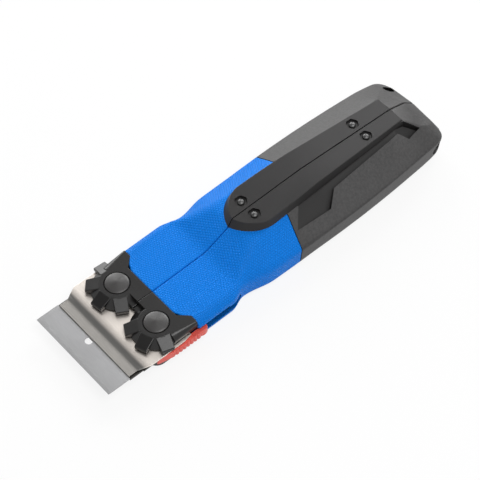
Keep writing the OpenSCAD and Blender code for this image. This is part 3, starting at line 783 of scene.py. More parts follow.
@dataclass(frozen=True)
class HandleForm:
    """Outer form that the grips and the shells share, and where the head meets it."""

    # Seam between the halves
    seam: float = 0.15
    seam_round: float = 0.25
    seam_arc: float = 0.12
    # End of the tail
    tail_end: float = -78.5
    tail_round: float = 4.4
    tail_lift: float = 2.0
    # Head's rear edge, with a step back at each ear
    head_rear: float = 43.0
    ear_rear: float = 39.4
    ear_y: float = 12.5
    ear_slope: float = 3.3
    # Sides, with a waist in the grips
    waist_x: float = 17.5
    waist_depth: float = 2.0
    waist_ahead: float = 7.0
    waist_behind: float = 13.0
    side_line: Rows = ((-78.5, 11.6), (-78.1, 13.2), (-77.2, 14.8), (-75.6, 16.3), (-73.2, 17.3),
                       (-70, 17.8), (-66.3, 18.2), (-60, 18.7), (-52, 19.25), (-44, 19.65), (-36, 19.95),
                       (-26, 20.1), (-12, 20.0), (-4, 19.8), (5, 19.7), (20, 19.8), (43, 20.0))
    side_soft: float = 0.8
    # Deck under the spine, and the hump at its rear
    spine_front: float = 5.0
    spine_taper: float = 0.0493
    hump_x: float = -65.1
    hump_start: float = -56.0
    hump_rise: float = 0.9
    # Sides' lean and the foot
    foot_z: float = 2.6
    leans: Rows = ((-60, 1.0), (-27, 0.85), (-12, 0.8), (-4, 0.55), (43, 0.5))
    foot_room: float = 1.2
    foot_round: float = 1.3
    bottom_in: float = 1.8
    bottom_round: float = 1.2
    # Heights along the seam
    deck_line: Rows = ((-60, 18.0), (8, 18.0), (20, 12.0), (43, 11.1))
    deck_soft: float = 1.6
    tail_line: Rows = ((-78.5, 9.8), (-76.8, 13.3), (-72.2, 17.3), (-65.1, 19.3), (-60, 21.1))
    tail_soft: float = 0.5
    # Upper edge, and the creases of the tail and the sides
    edge_line: Rows = ((8, 10.0), (20, 17.6), (43, 17.3))
    edge_waist: float = 0.5
    edge_room: float = 0.9
    tail_edge: Rows = ((-78.5, 8.2), (-77, 10.2), (-74.5, 10.9), (-72.2, 10.2), (-65.1, 6.6))
    tail_edge_z: Rows = ((-78.5, 9.4), (-77, 12.4), (-74.5, 14.0), (-72.2, 15.4), (-65.1, 18.9))
    crease_x: float = -72.2
    crease_skew: float = 1.9
    skew_line: Rows = ((0, 0.0), (9.8, 1.0), (12, 0.7), (16, 0.0))
    crease_z: Rows = ((-78.5, 8.6), (-77, 9.9), (-74, 10.8), (-65, 11.3), (-50, 11.0), (-25, 10.5),
                      (-8, 10.3), (8, 10.8), (20, 10.2), (43, 9.4))
    crease_rounds: Rows = ((-20, 0.7), (-4, 1.4), (6, 2.6), (18, 2.4), (26, 1.5))
    edge_rounds: Rows = ((4, 0.8), (9, 3.0), (18, 3.0), (26, 1.0))
    # Points of a section
    arc_points: int = 6
    run_points: int = 5

    def waist(self, x: float) -> float:
        """Depth of the waist.

        Args:
            x: place along the handle.

        Returns:
            Share of its full depth there.
        """
        reach = self.waist_ahead if x > self.waist_x else self.waist_behind
        u = (x - self.waist_x) / reach
        return 0.0 if abs(u) > 1 else (1 + math.cos(math.pi * u)) / 2

    def half_width(self, x: float) -> float:
        """Half width over the widest line of the sides at x."""
        return softened(self.side_line, x, self.side_soft) - self.waist_depth * self.waist(x)

    def deck(self, x: float) -> float:
        """Height along the seam.

        Args:
            x: place along the handle.

        Returns:
            The height there.
        """
        on_deck = x > self.hump_x
        table = self.deck_line if on_deck else self.tail_line
        return softened(table, x, self.deck_soft if on_deck else self.tail_soft)

    def corners(self, x: float, inset: float) -> tuple[Plan, list[float]]:
        """Corners of the half section at x, from the seam's top round to its foot.

        Args:
            x: place along the handle.
            inset: how far inside the outer form the section lies.

        Returns:
            The corners, and the rounding of each inner one.
        """
        w, top = self.half_width(x) - inset, self.deck(x) - inset
        if x > self.hump_x:
            taper = min(0.0, x - self.spine_front) * self.spine_taper
            edge = along(self.edge_line, x) + taper - self.edge_waist * self.waist(x)
            edge_z = top + self.hump_rise * ease(x, self.hump_start, self.hump_x)
        else:
            edge, edge_z = along(self.tail_edge, x), along(self.tail_edge_z, x) - inset
        edge = min(edge - inset / 2, w - self.edge_room)
        crease = along(self.crease_z, x) - inset / 2
        low = inset + max(0.0, self.tail_end + self.tail_lift - x)
        foot, foot_y = max(self.foot_z, low + self.foot_room), w - along(self.leans, x)
        g, r = self.seam, self.seam_round
        corners = [(g, top - r), (g + r, top), (edge, edge_z), (w, crease), (foot_y, foot),
                   (foot_y - self.bottom_in, low), (g + r, low), (g, low + r)]
        rounds = [self.seam_arc, along(self.edge_rounds, x), along(self.crease_rounds, x), self.foot_round,
                  self.bottom_round, self.seam_arc]
        return corners, rounds

    def skew(self, x: float, y: float) -> float:
        """Draw a point forward at the sides of the tail's crease.

        Args:
            x: place along the handle.
            y: half width.

        Returns:
            The new place along the handle.
        """
        reach = self.hump_x if x > self.crease_x else self.tail_end
        share = max(0.0, 1 - (x - self.crease_x) / (reach - self.crease_x))
        return x + self.crease_skew * share * along(self.skew_line, y)

    def section(self, x: float, inset: float = 0.0) -> Plan:
        """Points of the half section at x, inside the outer form by an inset."""
        corners, radii = self.corners(x, inset)
        return rounded_path(corners, radii, self.arc_points, self.run_points)

    def half(self, name: str, side: Side, stations: Sequence[float], inset: float = 0.0,
             shift: Callable[[float, float, float], float] | None = None,
             groove: float = 0.0) -> bpy.types.Object:
        """Half of the handle between two ends.

        Args:
            name: name of the new piece.
            side: which half.
            stations: places along the handle, from front to rear.
            inset: how far inside the outer form the skin lies.
            shift: moves a point along the handle, from its place, half width and height.
            groove: how far the end rings draw in.

        Returns:
            The new piece.
        """
        rings: list[Ring] = []
        for k, x in enumerate(stations):
            drawn = groove if groove and k in (0, len(stations) - 1) else 0.0
            ring = []
            for y, z in self.section(x, inset + drawn):
                place = x if shift is None else shift(x, y, z)
                ring.append((place, side.value * y, z))
            rings.append(ring)
        return Bench.loft(name, rings, list(stations))


@dataclass
class Handle:
    """Shells and grips of the two halves."""

    form: HandleForm
    finishes: Finishes
    # Ends of the grips and shells, and the gap between them
    gap: float = 0.12
    edge_groove: float = 0.22
    end_ring: float = 0.25
    end_run: float = 1.2
    front_fade: float = 13.0
    rear_fade: float = 12.0
    left_rear: Rows = ((2, -6.2), (10.5, -6.3), (14.5, -7.5), (18, -8.7))
    rear_soft: float = 1.4
    right_rear: float = -20.5
    rear_z: float = 9.0
    # Walls and hollows
    skin: float = 1.6
    inner_past: float = 8.0
    wall: float = 2.4
    hollow_past: float = 5.0
    hollow_rear: float = -62.0
    # Channel of the carriage
    channel_half: float = 18.6
    channel_low: float = 1.5
    channel_high: float = 9.65
    neck_front: float = 23.0
    mouth_past: float = 0.5
    mouth_front: float = 60.0
    # Slots of the slider and of the raised plate's edges
    slot_rear: float = 19.2
    slot_y: float = 17.4
    slot_low: float = 3.9
    slot_high: float = 7.1
    slot_round: float = 1.3
    slot_steps: int = 5
    slot_lap: float = 0.1
    plate_slot_rear: float = 25.7
    plate_slot_y: float = 17.6
    plate_slot_high: float = 7.8
    # Lanyard tunnel, and the oval hole that it leaves by
    bore: float = 4.4
    bore_x: float = -73.5
    bore_z: float = 6.35
    bore_rim: float = 0.5
    bore_in: float = 0.9
    bore_run: float = 1.2
    bore_past: float = 1.0
    bore_points: int = 40
    top_hole: tuple[float, float] = (-74.6, 10.3)
    top_hole_size: tuple[float, float] = (4.4, 3.0)
    top_hole_turn: float = 62.0
    # Groove and pockets beside the left spine cover
    recess_depths: Rows = ((-62, 1.6), (-25, 1.6), (-15, 0.8), (-9, 0.12))
    recess_plan: Rows = ((-14.2, 7.9), (-13.2, 9.9), (-8.6, 14.8), (-23.4, 15.3), (-28.7, 10.9),
                         (-61.2, 8.5), (-62.0, 5.8))
    recess_low: float = 8.0
    recess_front: float = 6.0
    rear_recess: Rows = ((-60.6, 8.4), (-63.3, 11.9), (-69.6, 10.7), (-65.2, 6.6), (-61.6, 6.0))
    rear_floor: tuple[float, float, float] = (14.8, 0.041, -0.632)
    # Rings at the hump, the crease and the end of the tail
    hump_run: float = 0.3
    hump_ring: float = 0.02
    facet_run: float = 0.5
    crease_run: float = 0.8
    crease_ring: float = 0.15
    tail_run: float = 0.4
    tail_angles: tuple[int, ...] = (0, 10, 20, 30, 40, 50, 58, 66, 74, 82, 90)
    # Counts of rings along each stretch
    grip_rings: int = 66
    inner_rings: int = 24
    shell_rings: int = 48
    facet_rings: int = 8
    crease_rings: int = 3
    recess_rings: int = 40
    # Least angles of edges that are shaded sharp, in degrees
    grip_angle: float = 32.0
    shell_angle: float = 18.0

    def rear_of(self, side: Side, z: float) -> float:
        """Place of a grip's rear edge at a height."""
        return softened(self.left_rear, z, self.rear_soft) if side is Side.LEFT else self.right_rear

    def front_of(self, y: float) -> float:
        """Place of a grip's front edge at a half width, along the head's rear."""
        drop = min(1.0, max(0.0, (y - self.form.ear_y) / self.form.ear_slope))
        return blend(drop, self.form.head_rear, self.form.ear_rear) - self.gap

    @staticmethod
    def shifted(end: float, toward: Callable[[float, float], float],
                reach: float) -> Callable[[float, float, float], float]:
        """Shift that draws one end of a loft to a shaped boundary.

        Args:
            end: plain place of that end.
            toward: place of the boundary at a half width and height.
            reach: how far from the end the shift fades out.

        Returns:
            A function of place, half width and height.
        """
        def move(x: float, y: float, z: float) -> float:
            """Place of a point after the shift."""
            share = max(0.0, 1 - abs(x - end) / reach)
            return x + (toward(y, z) - end) * share
        return move

    def build_grip(self, side: Side) -> bpy.types.Object:
        """Make the blue grip of one half, hollow, with its slots for the carriage and the slider.

        Args:
            side: which half.

        Returns:
            The grip.
        """
        rear = self.rear_of(side, self.rear_z)
        front = self.front_of(0)
        to_front = self.shifted(front, lambda y, z: self.front_of(y), self.front_fade)
        to_rear = self.shifted(rear, lambda y, z: self.rear_of(side, z), self.rear_fade)
        stations = [front, front - self.end_ring,
                    *spaced(front - self.end_run, rear + self.end_run, self.grip_rings),
                    rear + self.end_ring, rear]
        grip = self.form.half(f"{side.label}_grip_skin", side, stations, groove=self.edge_groove,
                              shift=lambda x, y, z: to_front(to_rear(x, y, z), y, z))
        inside = spaced(self.neck_front, rear - self.inner_past, self.inner_rings)
        inner = self.form.half("inner", side, inside, self.skin)
        Bench.combine(grip, inner)
        s = side.value
        mouths = ((self.slot_y - self.slot_lap, self.channel_low), (self.channel_half, self.slot_low))
        for reach, low in mouths:
            y_low, y_high = sorted((-s, s * reach))
            Bench.combine(grip, Bench.block("mouth", (self.neck_front - self.mouth_past, y_low, low),
                                            (self.mouth_front, y_high, self.channel_high)))
        y_low, y_high = sorted((s * self.plate_slot_y, s * BEYOND))
        low = (self.plate_slot_rear, y_low, self.slot_high - self.slot_lap)
        Bench.combine(grip, Bench.block("plate_slot", low, (self.mouth_front, y_high, self.plate_slot_high)))
        if side is Side.LEFT:
            Bench.combine(grip, self.slot())
        return grip

    def slot(self) -> bpy.types.Object:
        """Make the tool that cuts the slider's slot, with a rounded rear end.

        Returns:
            The tool.
        """
        tool = Bench.block("slot", (self.slot_rear, self.slot_y, self.slot_low),
                           (self.mouth_front, BEYOND, self.slot_high))
        rear = self.slot_rear + self.slot_lap
        Bench.round_edges(tool, lambda a, b: max(a.x, b.x) < rear and abs(a.y - b.y) > self.slot_lap,
                          self.slot_round, self.slot_steps)
        return tool

    def recesses(self) -> list[bpy.types.Object]:
        """Make the tools that cut the groove and its two pockets beside the left spine cover.

        Returns:
            The tools.
        """
        form = self.form
        groove = Bench.plate("groove", self.recess_plan, self.recess_low, BEYOND)
        stations = spaced(self.recess_front, form.hump_x + self.hump_run, self.recess_rings)
        floor = Bench.loft("floor", [[(x, y, z) for y, z in form.section(x, along(self.recess_depths, x))]
                                     for x in stations])
        Bench.combine(groove, floor)
        (x0, y0), (z0, along_x, along_y) = self.rear_recess[0], self.rear_floor
        foot = [(x, y, z0 + along_x * (x - x0) + along_y * (y - y0)) for x, y in self.rear_recess]
        pocket = Bench.loft("pocket", [foot, [(x, y, BEYOND) for x, y, _ in foot]])
        # The groove and pocket tools leave painted shade, a near-black finish, on the faces that they cut.
        for tool in (groove, pocket):
            Bench.coat(tool, self.finishes["recess_plastic"])
        return [groove, pocket]

    def tunnel(self, side: Side) -> bpy.types.Object:
        """Make the tool that cuts one half's share of the lanyard tunnel, widened at the left side.

        Args:
            side: which half.

        Returns:
            The tool.
        """
        r, y_out = self.bore / 2, self.form.half_width(self.bore_x) - self.bore_in
        if side is Side.LEFT:
            ends = [(r, y_out - self.bore_run), (r + self.bore_rim, y_out), (r + 2 * self.bore_rim, BEYOND)]
        else:
            ends = [(r, self.top_hole[1] + r)]
        bore = Bench.turned("bore", [(r, -self.bore_past), *ends], (0, 0), self.bore_points)
        for vertex in bore.data.vertices:
            x, y, z = vertex.co
            vertex.co = (self.bore_x * MM + x, side.value * z, self.bore_z * MM + y)
        Bench.outward(bore)
        # The bore leaves painted shade on the walls of the tunnel.
        Bench.coat(bore, self.finishes["recess_plastic"])
        return bore

    def top_opening(self) -> bpy.types.Object:
        """Make the tool that cuts the oval hole in the top of the right rear corner.

        Returns:
            The tool.
        """
        (x, y), (long, short) = self.top_hole, self.top_hole_size
        turn = math.radians(self.top_hole_turn)
        plan = []
        for a in turns(self.bore_points):
            u, v = long / 2 * math.cos(a), short / 2 * math.sin(a)
            plan.append((x + u * math.cos(turn) + v * math.sin(turn),
                         -y - u * math.sin(turn) + v * math.cos(turn)))
        hole = Bench.plate("hole", plan, self.bore_z, BEYOND)
        # The hole leaves painted shade on its walls.
        Bench.coat(hole, self.finishes["recess_plastic"])
        return hole

    def build_shell(self, side: Side) -> bpy.types.Object:
        """Make the grey shell of one half, hollow, with its lanyard openings and recesses.

        Args:
            side: which half.

        Returns:
            The shell.
        """
        form = self.form
        front = self.rear_of(side, self.rear_z) - self.gap
        to_front = self.shifted(front, lambda y, z: self.rear_of(side, z) - self.gap, self.rear_fade)
        tail = [form.tail_end + form.tail_round * (1 - math.sin(math.radians(a))) for a in self.tail_angles]
        crease = [form.crease_x + self.crease_ring, form.crease_x - self.crease_ring]
        hump = [form.hump_x + self.hump_ring, form.hump_x - self.hump_ring]
        stations = [front, front - self.end_ring,
                    *spaced(front - self.end_run, form.hump_x + self.hump_run, self.shell_rings), *hump,
                    *spaced(form.hump_x - self.facet_run, crease[0] + self.crease_run, self.facet_rings),
                    *crease, *spaced(crease[1] - self.facet_run, tail[0] + self.tail_run, self.crease_rings),
                    *tail]
        shell = form.half(f"{side.label}_shell_skin", side, stations,
                          shift=lambda x, y, z: to_front(form.skew(x, y), y, z))
        Bench.coat(shell, self.finishes["handle_plastic"])
        inside = spaced(front + self.hollow_past, self.hollow_rear, self.inner_rings)
        hollow = form.half("hollow", side, inside, self.wall)
        Bench.combine(shell, hollow)
        if side is Side.LEFT:
            for tool in self.recesses():
                Bench.combine(shell, tool)
        else:
            Bench.combine(shell, self.top_opening())
        Bench.combine(shell, self.tunnel(side))
        return shell

    def build(self) -> None:
        """Make and dress the grips and shells."""
        for side in Side:
            grip = self.build_grip(side)
            Bench.coat(grip, self.finishes["grip_rubber"])
            Bench.shade(grip, self.grip_angle, even=False)
            Bench.dress(grip, Body.HOUSING, [f"{side.label}_grip"], "grip_rubber")
            shell = self.build_shell(side)
            Bench.shade(shell, self.shell_angle, even=False)
            Bench.dress(shell, Body.HOUSING, [f"{side.label}_shell"], "handle_plastic")


@dataclass
class Spine:
    """Spine covers and their dome-headed screws."""

    form: HandleForm
    finishes: Finishes
    # Plan of a cover, with its nose at the front
    half: float = 9.7
    nose_x: float = -2.2
    nose_len: float = 12.0
    rear: float = -65.0
    rear_half: float = 6.6
    peak_x: float = -22.7
    seam_edge: float = 0.12
    back_stations: tuple[float, float] = (-50.0, -36.0)
    seam_front: float = -10.0
    side_stations: tuple[float, ...] = (-5.0, -10.0, -16.0)
    nose_points: int = 25
    # Sloped wall, its upper edge and the heights along the top
    nose_wall: float = 1.75
    nose_turn: tuple[float, float] = (40.0, 95.0)
    shoulder_wall: float = 0.85
    shoulder_run: tuple[float, float] = (2.2, 14.0)
    side_wall: float = 0.5
    edge: float = 0.3
    edge_share: float = 1.02
    sunk: float = 0.2
    top_line: Rows = ((-65, 19.3), (-22.7, 21.3), (8, 20.3))
    # Screws and their lobed seats
    screw_x: tuple[float, float] = (0.9, -50.3)
    screw_y: float = 3.45
    ring: float = 2.3
    lobes: int = 6
    lobe_depth: float = 0.11
    lobe_points: int = 72
    ring_depth: float = 0.75
    head: float = 1.3
    head_rise: float = 0.8
    head_sunk: float = 0.3
    head_wall: float = 0.45
    dome_share: float = 0.97
    shank: float = 0.85
    shank_len: float = 4.5
    dome_points: int = 9
    screw_points: int = 40
    # Least angles of edges that are shaded sharp, in degrees
    cover_angle: float = 28.0
    screw_angle: float = 40.0

    def ring_at(self, share: float, lift: float, foot: bool) -> Ring:
        """Outline of a cover, drawn in by a share of its wall.

        Args:
            share: 0 at the foot of the wall and 1 at its top, more for the edge above it.
            lift: height below the top.
            foot: whether the ring lies at the foot on the deck.

        Returns:
            Points from the rear along the seam, round the nose and back along the side.
        """
        radius = (self.nose_len**2 + self.half**2) / (2 * self.half)
        centre_y = self.half - radius
        extra = self.edge if lift == 0 and not foot else 0.0

        def wall(angle: float) -> float:
            """Width of the wall round the nose."""
            return blend(ease(angle, *self.nose_turn), self.nose_wall, self.shoulder_wall) * share + extra

        first = radius - wall(0)
        seam = self.form.seam + (self.seam_edge if extra else 0.0)
        tip_angle = math.degrees(math.asin((seam - centre_y) / first))
        tip = self.nose_x + first * math.cos(math.radians(tip_angle))
        plan: Plan = [(x, seam) for x in (self.rear, *self.back_stations, self.peak_x, self.seam_front)]
        plan.append((tip, seam))
        for angle in spaced(tip_angle, 90, self.nose_points)[1:]:
            r, a = radius - wall(angle), math.radians(angle)
            plan.append((self.nose_x + r * math.cos(a), centre_y + r * math.sin(a)))
        for x in (*self.side_stations, self.peak_x, *reversed(self.back_stations), self.rear):
            u = (x - self.nose_x) / (self.rear - self.nose_x)
            thick = blend(ease(-x, *self.shoulder_run), self.shoulder_wall, self.side_wall)
            inset = thick * share + extra
            plan.append((x, blend(u, self.half, self.rear_half) - inset))
        if foot:
            return [(x, y, self.form.deck(max(x, self.rear)) - self.sunk) for x, y in plan]
        return [(x, y, along(self.top_line, x) - lift) for x, y in plan]

    def build_cover(self, side: Side) -> bpy.types.Object:
        """Make the cover of one half with its screw seats.

        Args:
            side: which half.

        Returns:
            The cover.
        """
        rings = [self.ring_at(0, 0, True), self.ring_at(1, self.edge, False),
                 self.ring_at(self.edge_share, self.edge / 3, False), self.ring_at(1, 0, False)]
        cover = Bench.loft(f"{side.label}_spine_top",
                           [[(x, side.value * y, z) for x, y, z in ring] for ring in rings])
        plane = {"plane_co": (self.peak_x * MM, 0, 0), "plane_no": (1, 0, 0)}
        Bench.all_of(cover, lambda: bpy.ops.mesh.bisect(**plane))
        for x in self.screw_x:
            y = side.value * self.screw_y
            plan = []
            for a in turns(self.lobe_points):
                r = self.ring - self.lobe_depth * (1 - math.cos(self.lobes * a))
                plan.append((x + r * math.cos(a), y + r * math.sin(a)))
            floor = along(self.top_line, x) - self.ring_depth
            Bench.combine(cover, Bench.plate("ring", plan, floor, BEYOND))
        return cover

    def build_screws(self) -> bpy.types.Object:
        """Make the four screw heads and their shanks as one piece.

        Returns:
            The screws.
        """
        screws = []
        for x in self.screw_x:
            base = along(self.top_line, x) - self.ring_depth - self.head_sunk
            dome = [(self.head * math.cos(a), base + self.head_wall + self.head_rise * math.sin(a))
                    for a in spaced(0, math.pi / 2 * self.dome_share, self.dome_points)]
            profile = [(self.shank, base - self.shank_len), (self.shank, base), (self.head, base), *dome]
            screws += [Bench.turned("spine_screw_heads", profile, (x, side.value * self.screw_y),
                                    self.screw_points) for side in Side]
        return Bench.join(screws)

    def build(self) -> None:
        """Make and dress the covers and screws."""
        for side in Side:
            cover = self.build_cover(side)
            Bench.coat(cover, self.finishes["spine_plastic"])
            Bench.shade(cover, self.cover_angle)
            Bench.dress(cover, Body.HOUSING, [f"{side.label}_spine_cover"], "spine_plastic")
        screws = self.build_screws()
        Bench.coat(screws, self.finishes["screw_steel"])
        Bench.shade(screws, self.screw_angle)
        Bench.dress(screws, Body.HOUSING, ["spine_screws"], "screw_steel")


@dataclass
class Head:
    """Head covers with their cogs, hub plugs and the jaw under the blade carriage."""

    form: HandleForm
    finishes: Finishes
    # Cog round each hub
    hub_x: float = 49.6
    hub_y: float = 10.2
    low: float = 8.15
    high: float = 11.2
    crown: float = 6.3
    crown_edge: Rows = ((0.25, 0.28), (0.0, 0.08), (-0.3, 0.01))
    root: float = 9.0
    root_z: float = 8.7
    root_edge: tuple[float, float] = (0.25, 0.3)
    axis_r: float = 0.01
    cog_points: int = 72
    # Teeth, and their directions in degrees
    tip: float = 10.7
    tip_z: float = 9.45
    tip_share: float = 0.9
    tooth: float = 5.1
    tooth_in: float = 1.6
    tooth_flat: float = 0.25
    tooth_drop: float = 0.02
    tooth_edge: float = 0.25
    right_teeth: tuple[float, ...] = (-93.9, -42.4, 9.0, 60.4)
    left_teeth: tuple[float, ...] = (-30.4, 21.0, 72.4)
    # Web between the cogs
    web_front: float = 51.3
    web_back: float = 3.0
    web_lift: float = 0.03
    web_half: float = 5.0
    web_high: float = 9.4
    # Flat behind the cog, with its ear
    half: float = 19.2
    ear_edge: Rows = ((39.4, 18.8), (48.7, 17.5))
    ear_drop: Rows = ((39.4, 10.7), (48.7, 9.5))
    ear_round: float = 1.1
    ear_points: tuple[int, int] = (5, 1)
    low_round: float = 0.15
    behind_x: float = 20.0
    flat_front: float = 49.1
    flat_past: float = 1.0
    flat_rings: int = 14
    flat_bevel_angle: float = 50.0
    # Hub plugs and their seats
    plug: float = 4.2
    plug_gap: float = 0.22
    plug_deep: float = 1.0
    plug_rise: float = 0.8
    plug_edge: float = 0.2
    plug_rim: float = 0.15
    plug_cone: Rows = ((0.985, 0.0), (0.95, 0.12), (0.9, 0.22), (0.8, 0.34), (0.6, 0.55), (0.4, 0.74),
                       (0.2, 0.91), (0.1, 0.975), (0.003, 1.0))
    seat_rim: Rows = ((0.0, -0.2), (0.25, 0.05), (0.25, 2.0))
    # Tongues under the grips
    tongue_rear: float = 23.0
    tongue_half: float = 17.1
    tongue_high: float = 9.6
    tongue_lift: float = 0.05
    tongue_lap: float = 1.0
    # Jaw under the carriage
    jaw_front: float = 58.0
    jaw_round: float = 4.0
    jaw_points: int = 9
    jaw_edge: float = 0.5
    jaw_steps: int = 3
    jaw_low: float = 0.75
    jaw_high: float = 3.8
    jaw_tongue_half: float = 17.2
    jaw_tongue_low: float = 1.55
    # Least angles of edges that are shaded sharp, in degrees
    cover_angle: float = 16.0
    plug_angle: float = 40.0
    jaw_angle: float = 30.0

    def flat(self, side: Side) -> bpy.types.Object:
        """Make the flat of a cover with its rounded ear, behind the cog.

        Args:
            side: which half.

        Returns:
            The flat.
        """
        form, s = self.form, side.value
        rings: list[Ring] = []
        for x in spaced(self.flat_front, form.ear_rear - self.flat_past, self.flat_rings):
            corners = [(form.seam, self.low), (self.half, self.low), (self.half, along(self.ear_drop, x)),
                       (along(self.ear_edge, x), self.high), (form.seam, self.high)]
            path = rounded_path(corners, [self.low_round, self.ear_round, self.ear_round], *self.ear_points)
            rings.append([(x, s * y, z) for y, z in path])
        flat = Bench.loft(f"{side.label}_cog_cover", rings)
        behind = [(self.behind_x, -s), (form.head_rear, -s), (form.head_rear, s * form.ear_y),
                  (form.ear_rear, s * (form.ear_y + form.ear_slope)), (form.ear_rear, s * BEYOND),
                  (self.behind_x, s * BEYOND)]
        Bench.combine(flat, Bench.plate("behind", behind, 0, BEYOND))
        Bench.soften(flat, self.tooth_edge, angle=self.flat_bevel_angle)
        return flat

    def tooth_block(self, centre: Sequence[float], angle: float) -> bpy.types.Object:
        """Make one tooth, whose top slopes down to its tip.

        Args:
            centre: x and y of the cog's hub.
            angle: direction of the tooth in degrees.

        Returns:
            The new tooth with softened edges.
        """
        c, s = math.cos(math.radians(angle)), math.sin(math.radians(angle))
        top, half = self.high - self.tooth_drop, self.tooth / 2
        rows = ((self.crown - self.tooth_in, half, top), (self.crown - self.tooth_flat, half, top),
                (self.tip, half * self.tip_share, self.tip_z))
        rings: list[Ring] = []
        for r, w, z in rows:
            outline = ((-w, self.low), (w, self.low), (w, z), (-w, z))
            rings.append([(centre[0] + r * c - y * s, centre[1] + r * s + y * c, h) for y, h in outline])
        tooth = Bench.loft("tooth", rings)
        Bench.soften(tooth, self.tooth_edge)
        return tooth

    def build_cover(self, side: Side) -> bpy.types.Object:
        """Make the cover of one half with its cog, rounded ear and plug recess.

        Args:
            side: which half.

        Returns:
            The cover.
        """
        s = side.value
        cover = self.flat(side)
        centre = (self.hub_x, s * self.hub_y)
        edge_in, edge_drop = self.root_edge
        slope = [(self.crown + out, self.high - drop) for out, drop in self.crown_edge]
        crown = [(self.root, self.low), (self.root, self.root_z - edge_drop),
                 (self.root - edge_in, self.root_z), *slope, (self.axis_r, slope[-1][1])]
        Bench.combine(cover, Bench.turned("crown", crown, centre, self.cog_points), Way.JOIN)
        for angle in self.right_teeth if side is Side.RIGHT else self.left_teeth:
            Bench.combine(cover, self.tooth_block(centre, angle), Way.JOIN)
        r, top = self.plug + self.plug_gap, self.high
        rim = [(r + out, top + up) for out, up in self.seat_rim]
        Bench.combine(cover, Bench.turned("recess", [(r, top - self.plug_deep), *rim], centre))
        y_low, y_high = sorted((s * self.form.seam, s * self.web_half))
        web = Bench.block("web", (self.form.head_rear + self.web_back, y_low, self.low + self.web_lift),
                          (self.web_front, y_high, self.web_high))
        Bench.soften(web, self.tooth_edge)
        Bench.combine(cover, web, Way.JOIN)
        y_low, y_high = sorted((s * self.form.seam, s * self.tongue_half))
        tongue = Bench.block("tongue", (self.tongue_rear, y_low, self.low + self.tongue_lift),
                             (self.form.head_rear + self.tongue_lap, y_high, self.tongue_high))
        Bench.combine(cover, tongue, Way.JOIN)
        return cover

    def build_plugs(self) -> bpy.types.Object:
        """Make the two hub plugs, low cones with rounded rims, as one piece.

        Returns:
            The plugs.
        """
        base, edge = self.high - self.plug_deep, self.plug_edge
        cone = [(self.plug * u, self.high + self.plug_rise * z) for u, z in self.plug_cone]
        profile = [(self.plug - edge, base), (self.plug, base + edge),
                   (self.plug, self.high - self.plug_rim), *cone]
        return Bench.join([Bench.turned("hub_domes", profile, (self.hub_x, side.value * self.hub_y))
                           for side in Side])

    def build_jaw(self) -> bpy.types.Object:
        """Make the plate under the carriage, with rounded front corners and a tongue behind.

        Returns:
            The jaw.
        """
        form, r, hw = self.form, self.jaw_round, self.half
        near = [(self.jaw_front - r + r * math.cos(a), hw - r + r * math.sin(a))
                for a in spaced(0, math.pi / 2, self.jaw_points)]
        near += [(form.ear_rear, hw), (form.ear_rear, form.ear_y + form.ear_slope),
                 (form.head_rear, form.ear_y)]
        outline = [*near, *[(x, -y) for x, y in reversed(near)]]
        jaw = Bench.plate("jaw_plate", outline, self.jaw_low, self.jaw_high)
        Bench.soften(jaw, self.jaw_edge, self.jaw_steps)
        tongue = Bench.block("tongue", (self.tongue_rear, -self.jaw_tongue_half, self.jaw_tongue_low),
                             (form.head_rear + self.tongue_lap, self.jaw_tongue_half,
                              self.jaw_high - self.tongue_lift))
        Bench.combine(jaw, tongue, Way.JOIN)
        return jaw

    def build(self) -> None:
        """Make and dress the covers, plugs and jaw."""
        pieces = [(self.build_cover(side), f"{side.label}_head_cover", self.cover_angle, "head_plastic")
                  for side in Side]
        # The plugs take the lighter copy of the head's plastic, a painted sheen.
        pieces += [(self.build_plugs(), "hub_plugs", self.plug_angle, "painted_sheen_on_plugs"),
                   (self.build_jaw(), "lower_jaw", self.jaw_angle, "head_plastic")]
        for piece, node, angle, finish in pieces:
            Bench.coat(piece, self.finishes[finish])
            Bench.shade(piece, angle)
            Bench.dress(piece, Body.HOUSING, [node], "head_plastic")


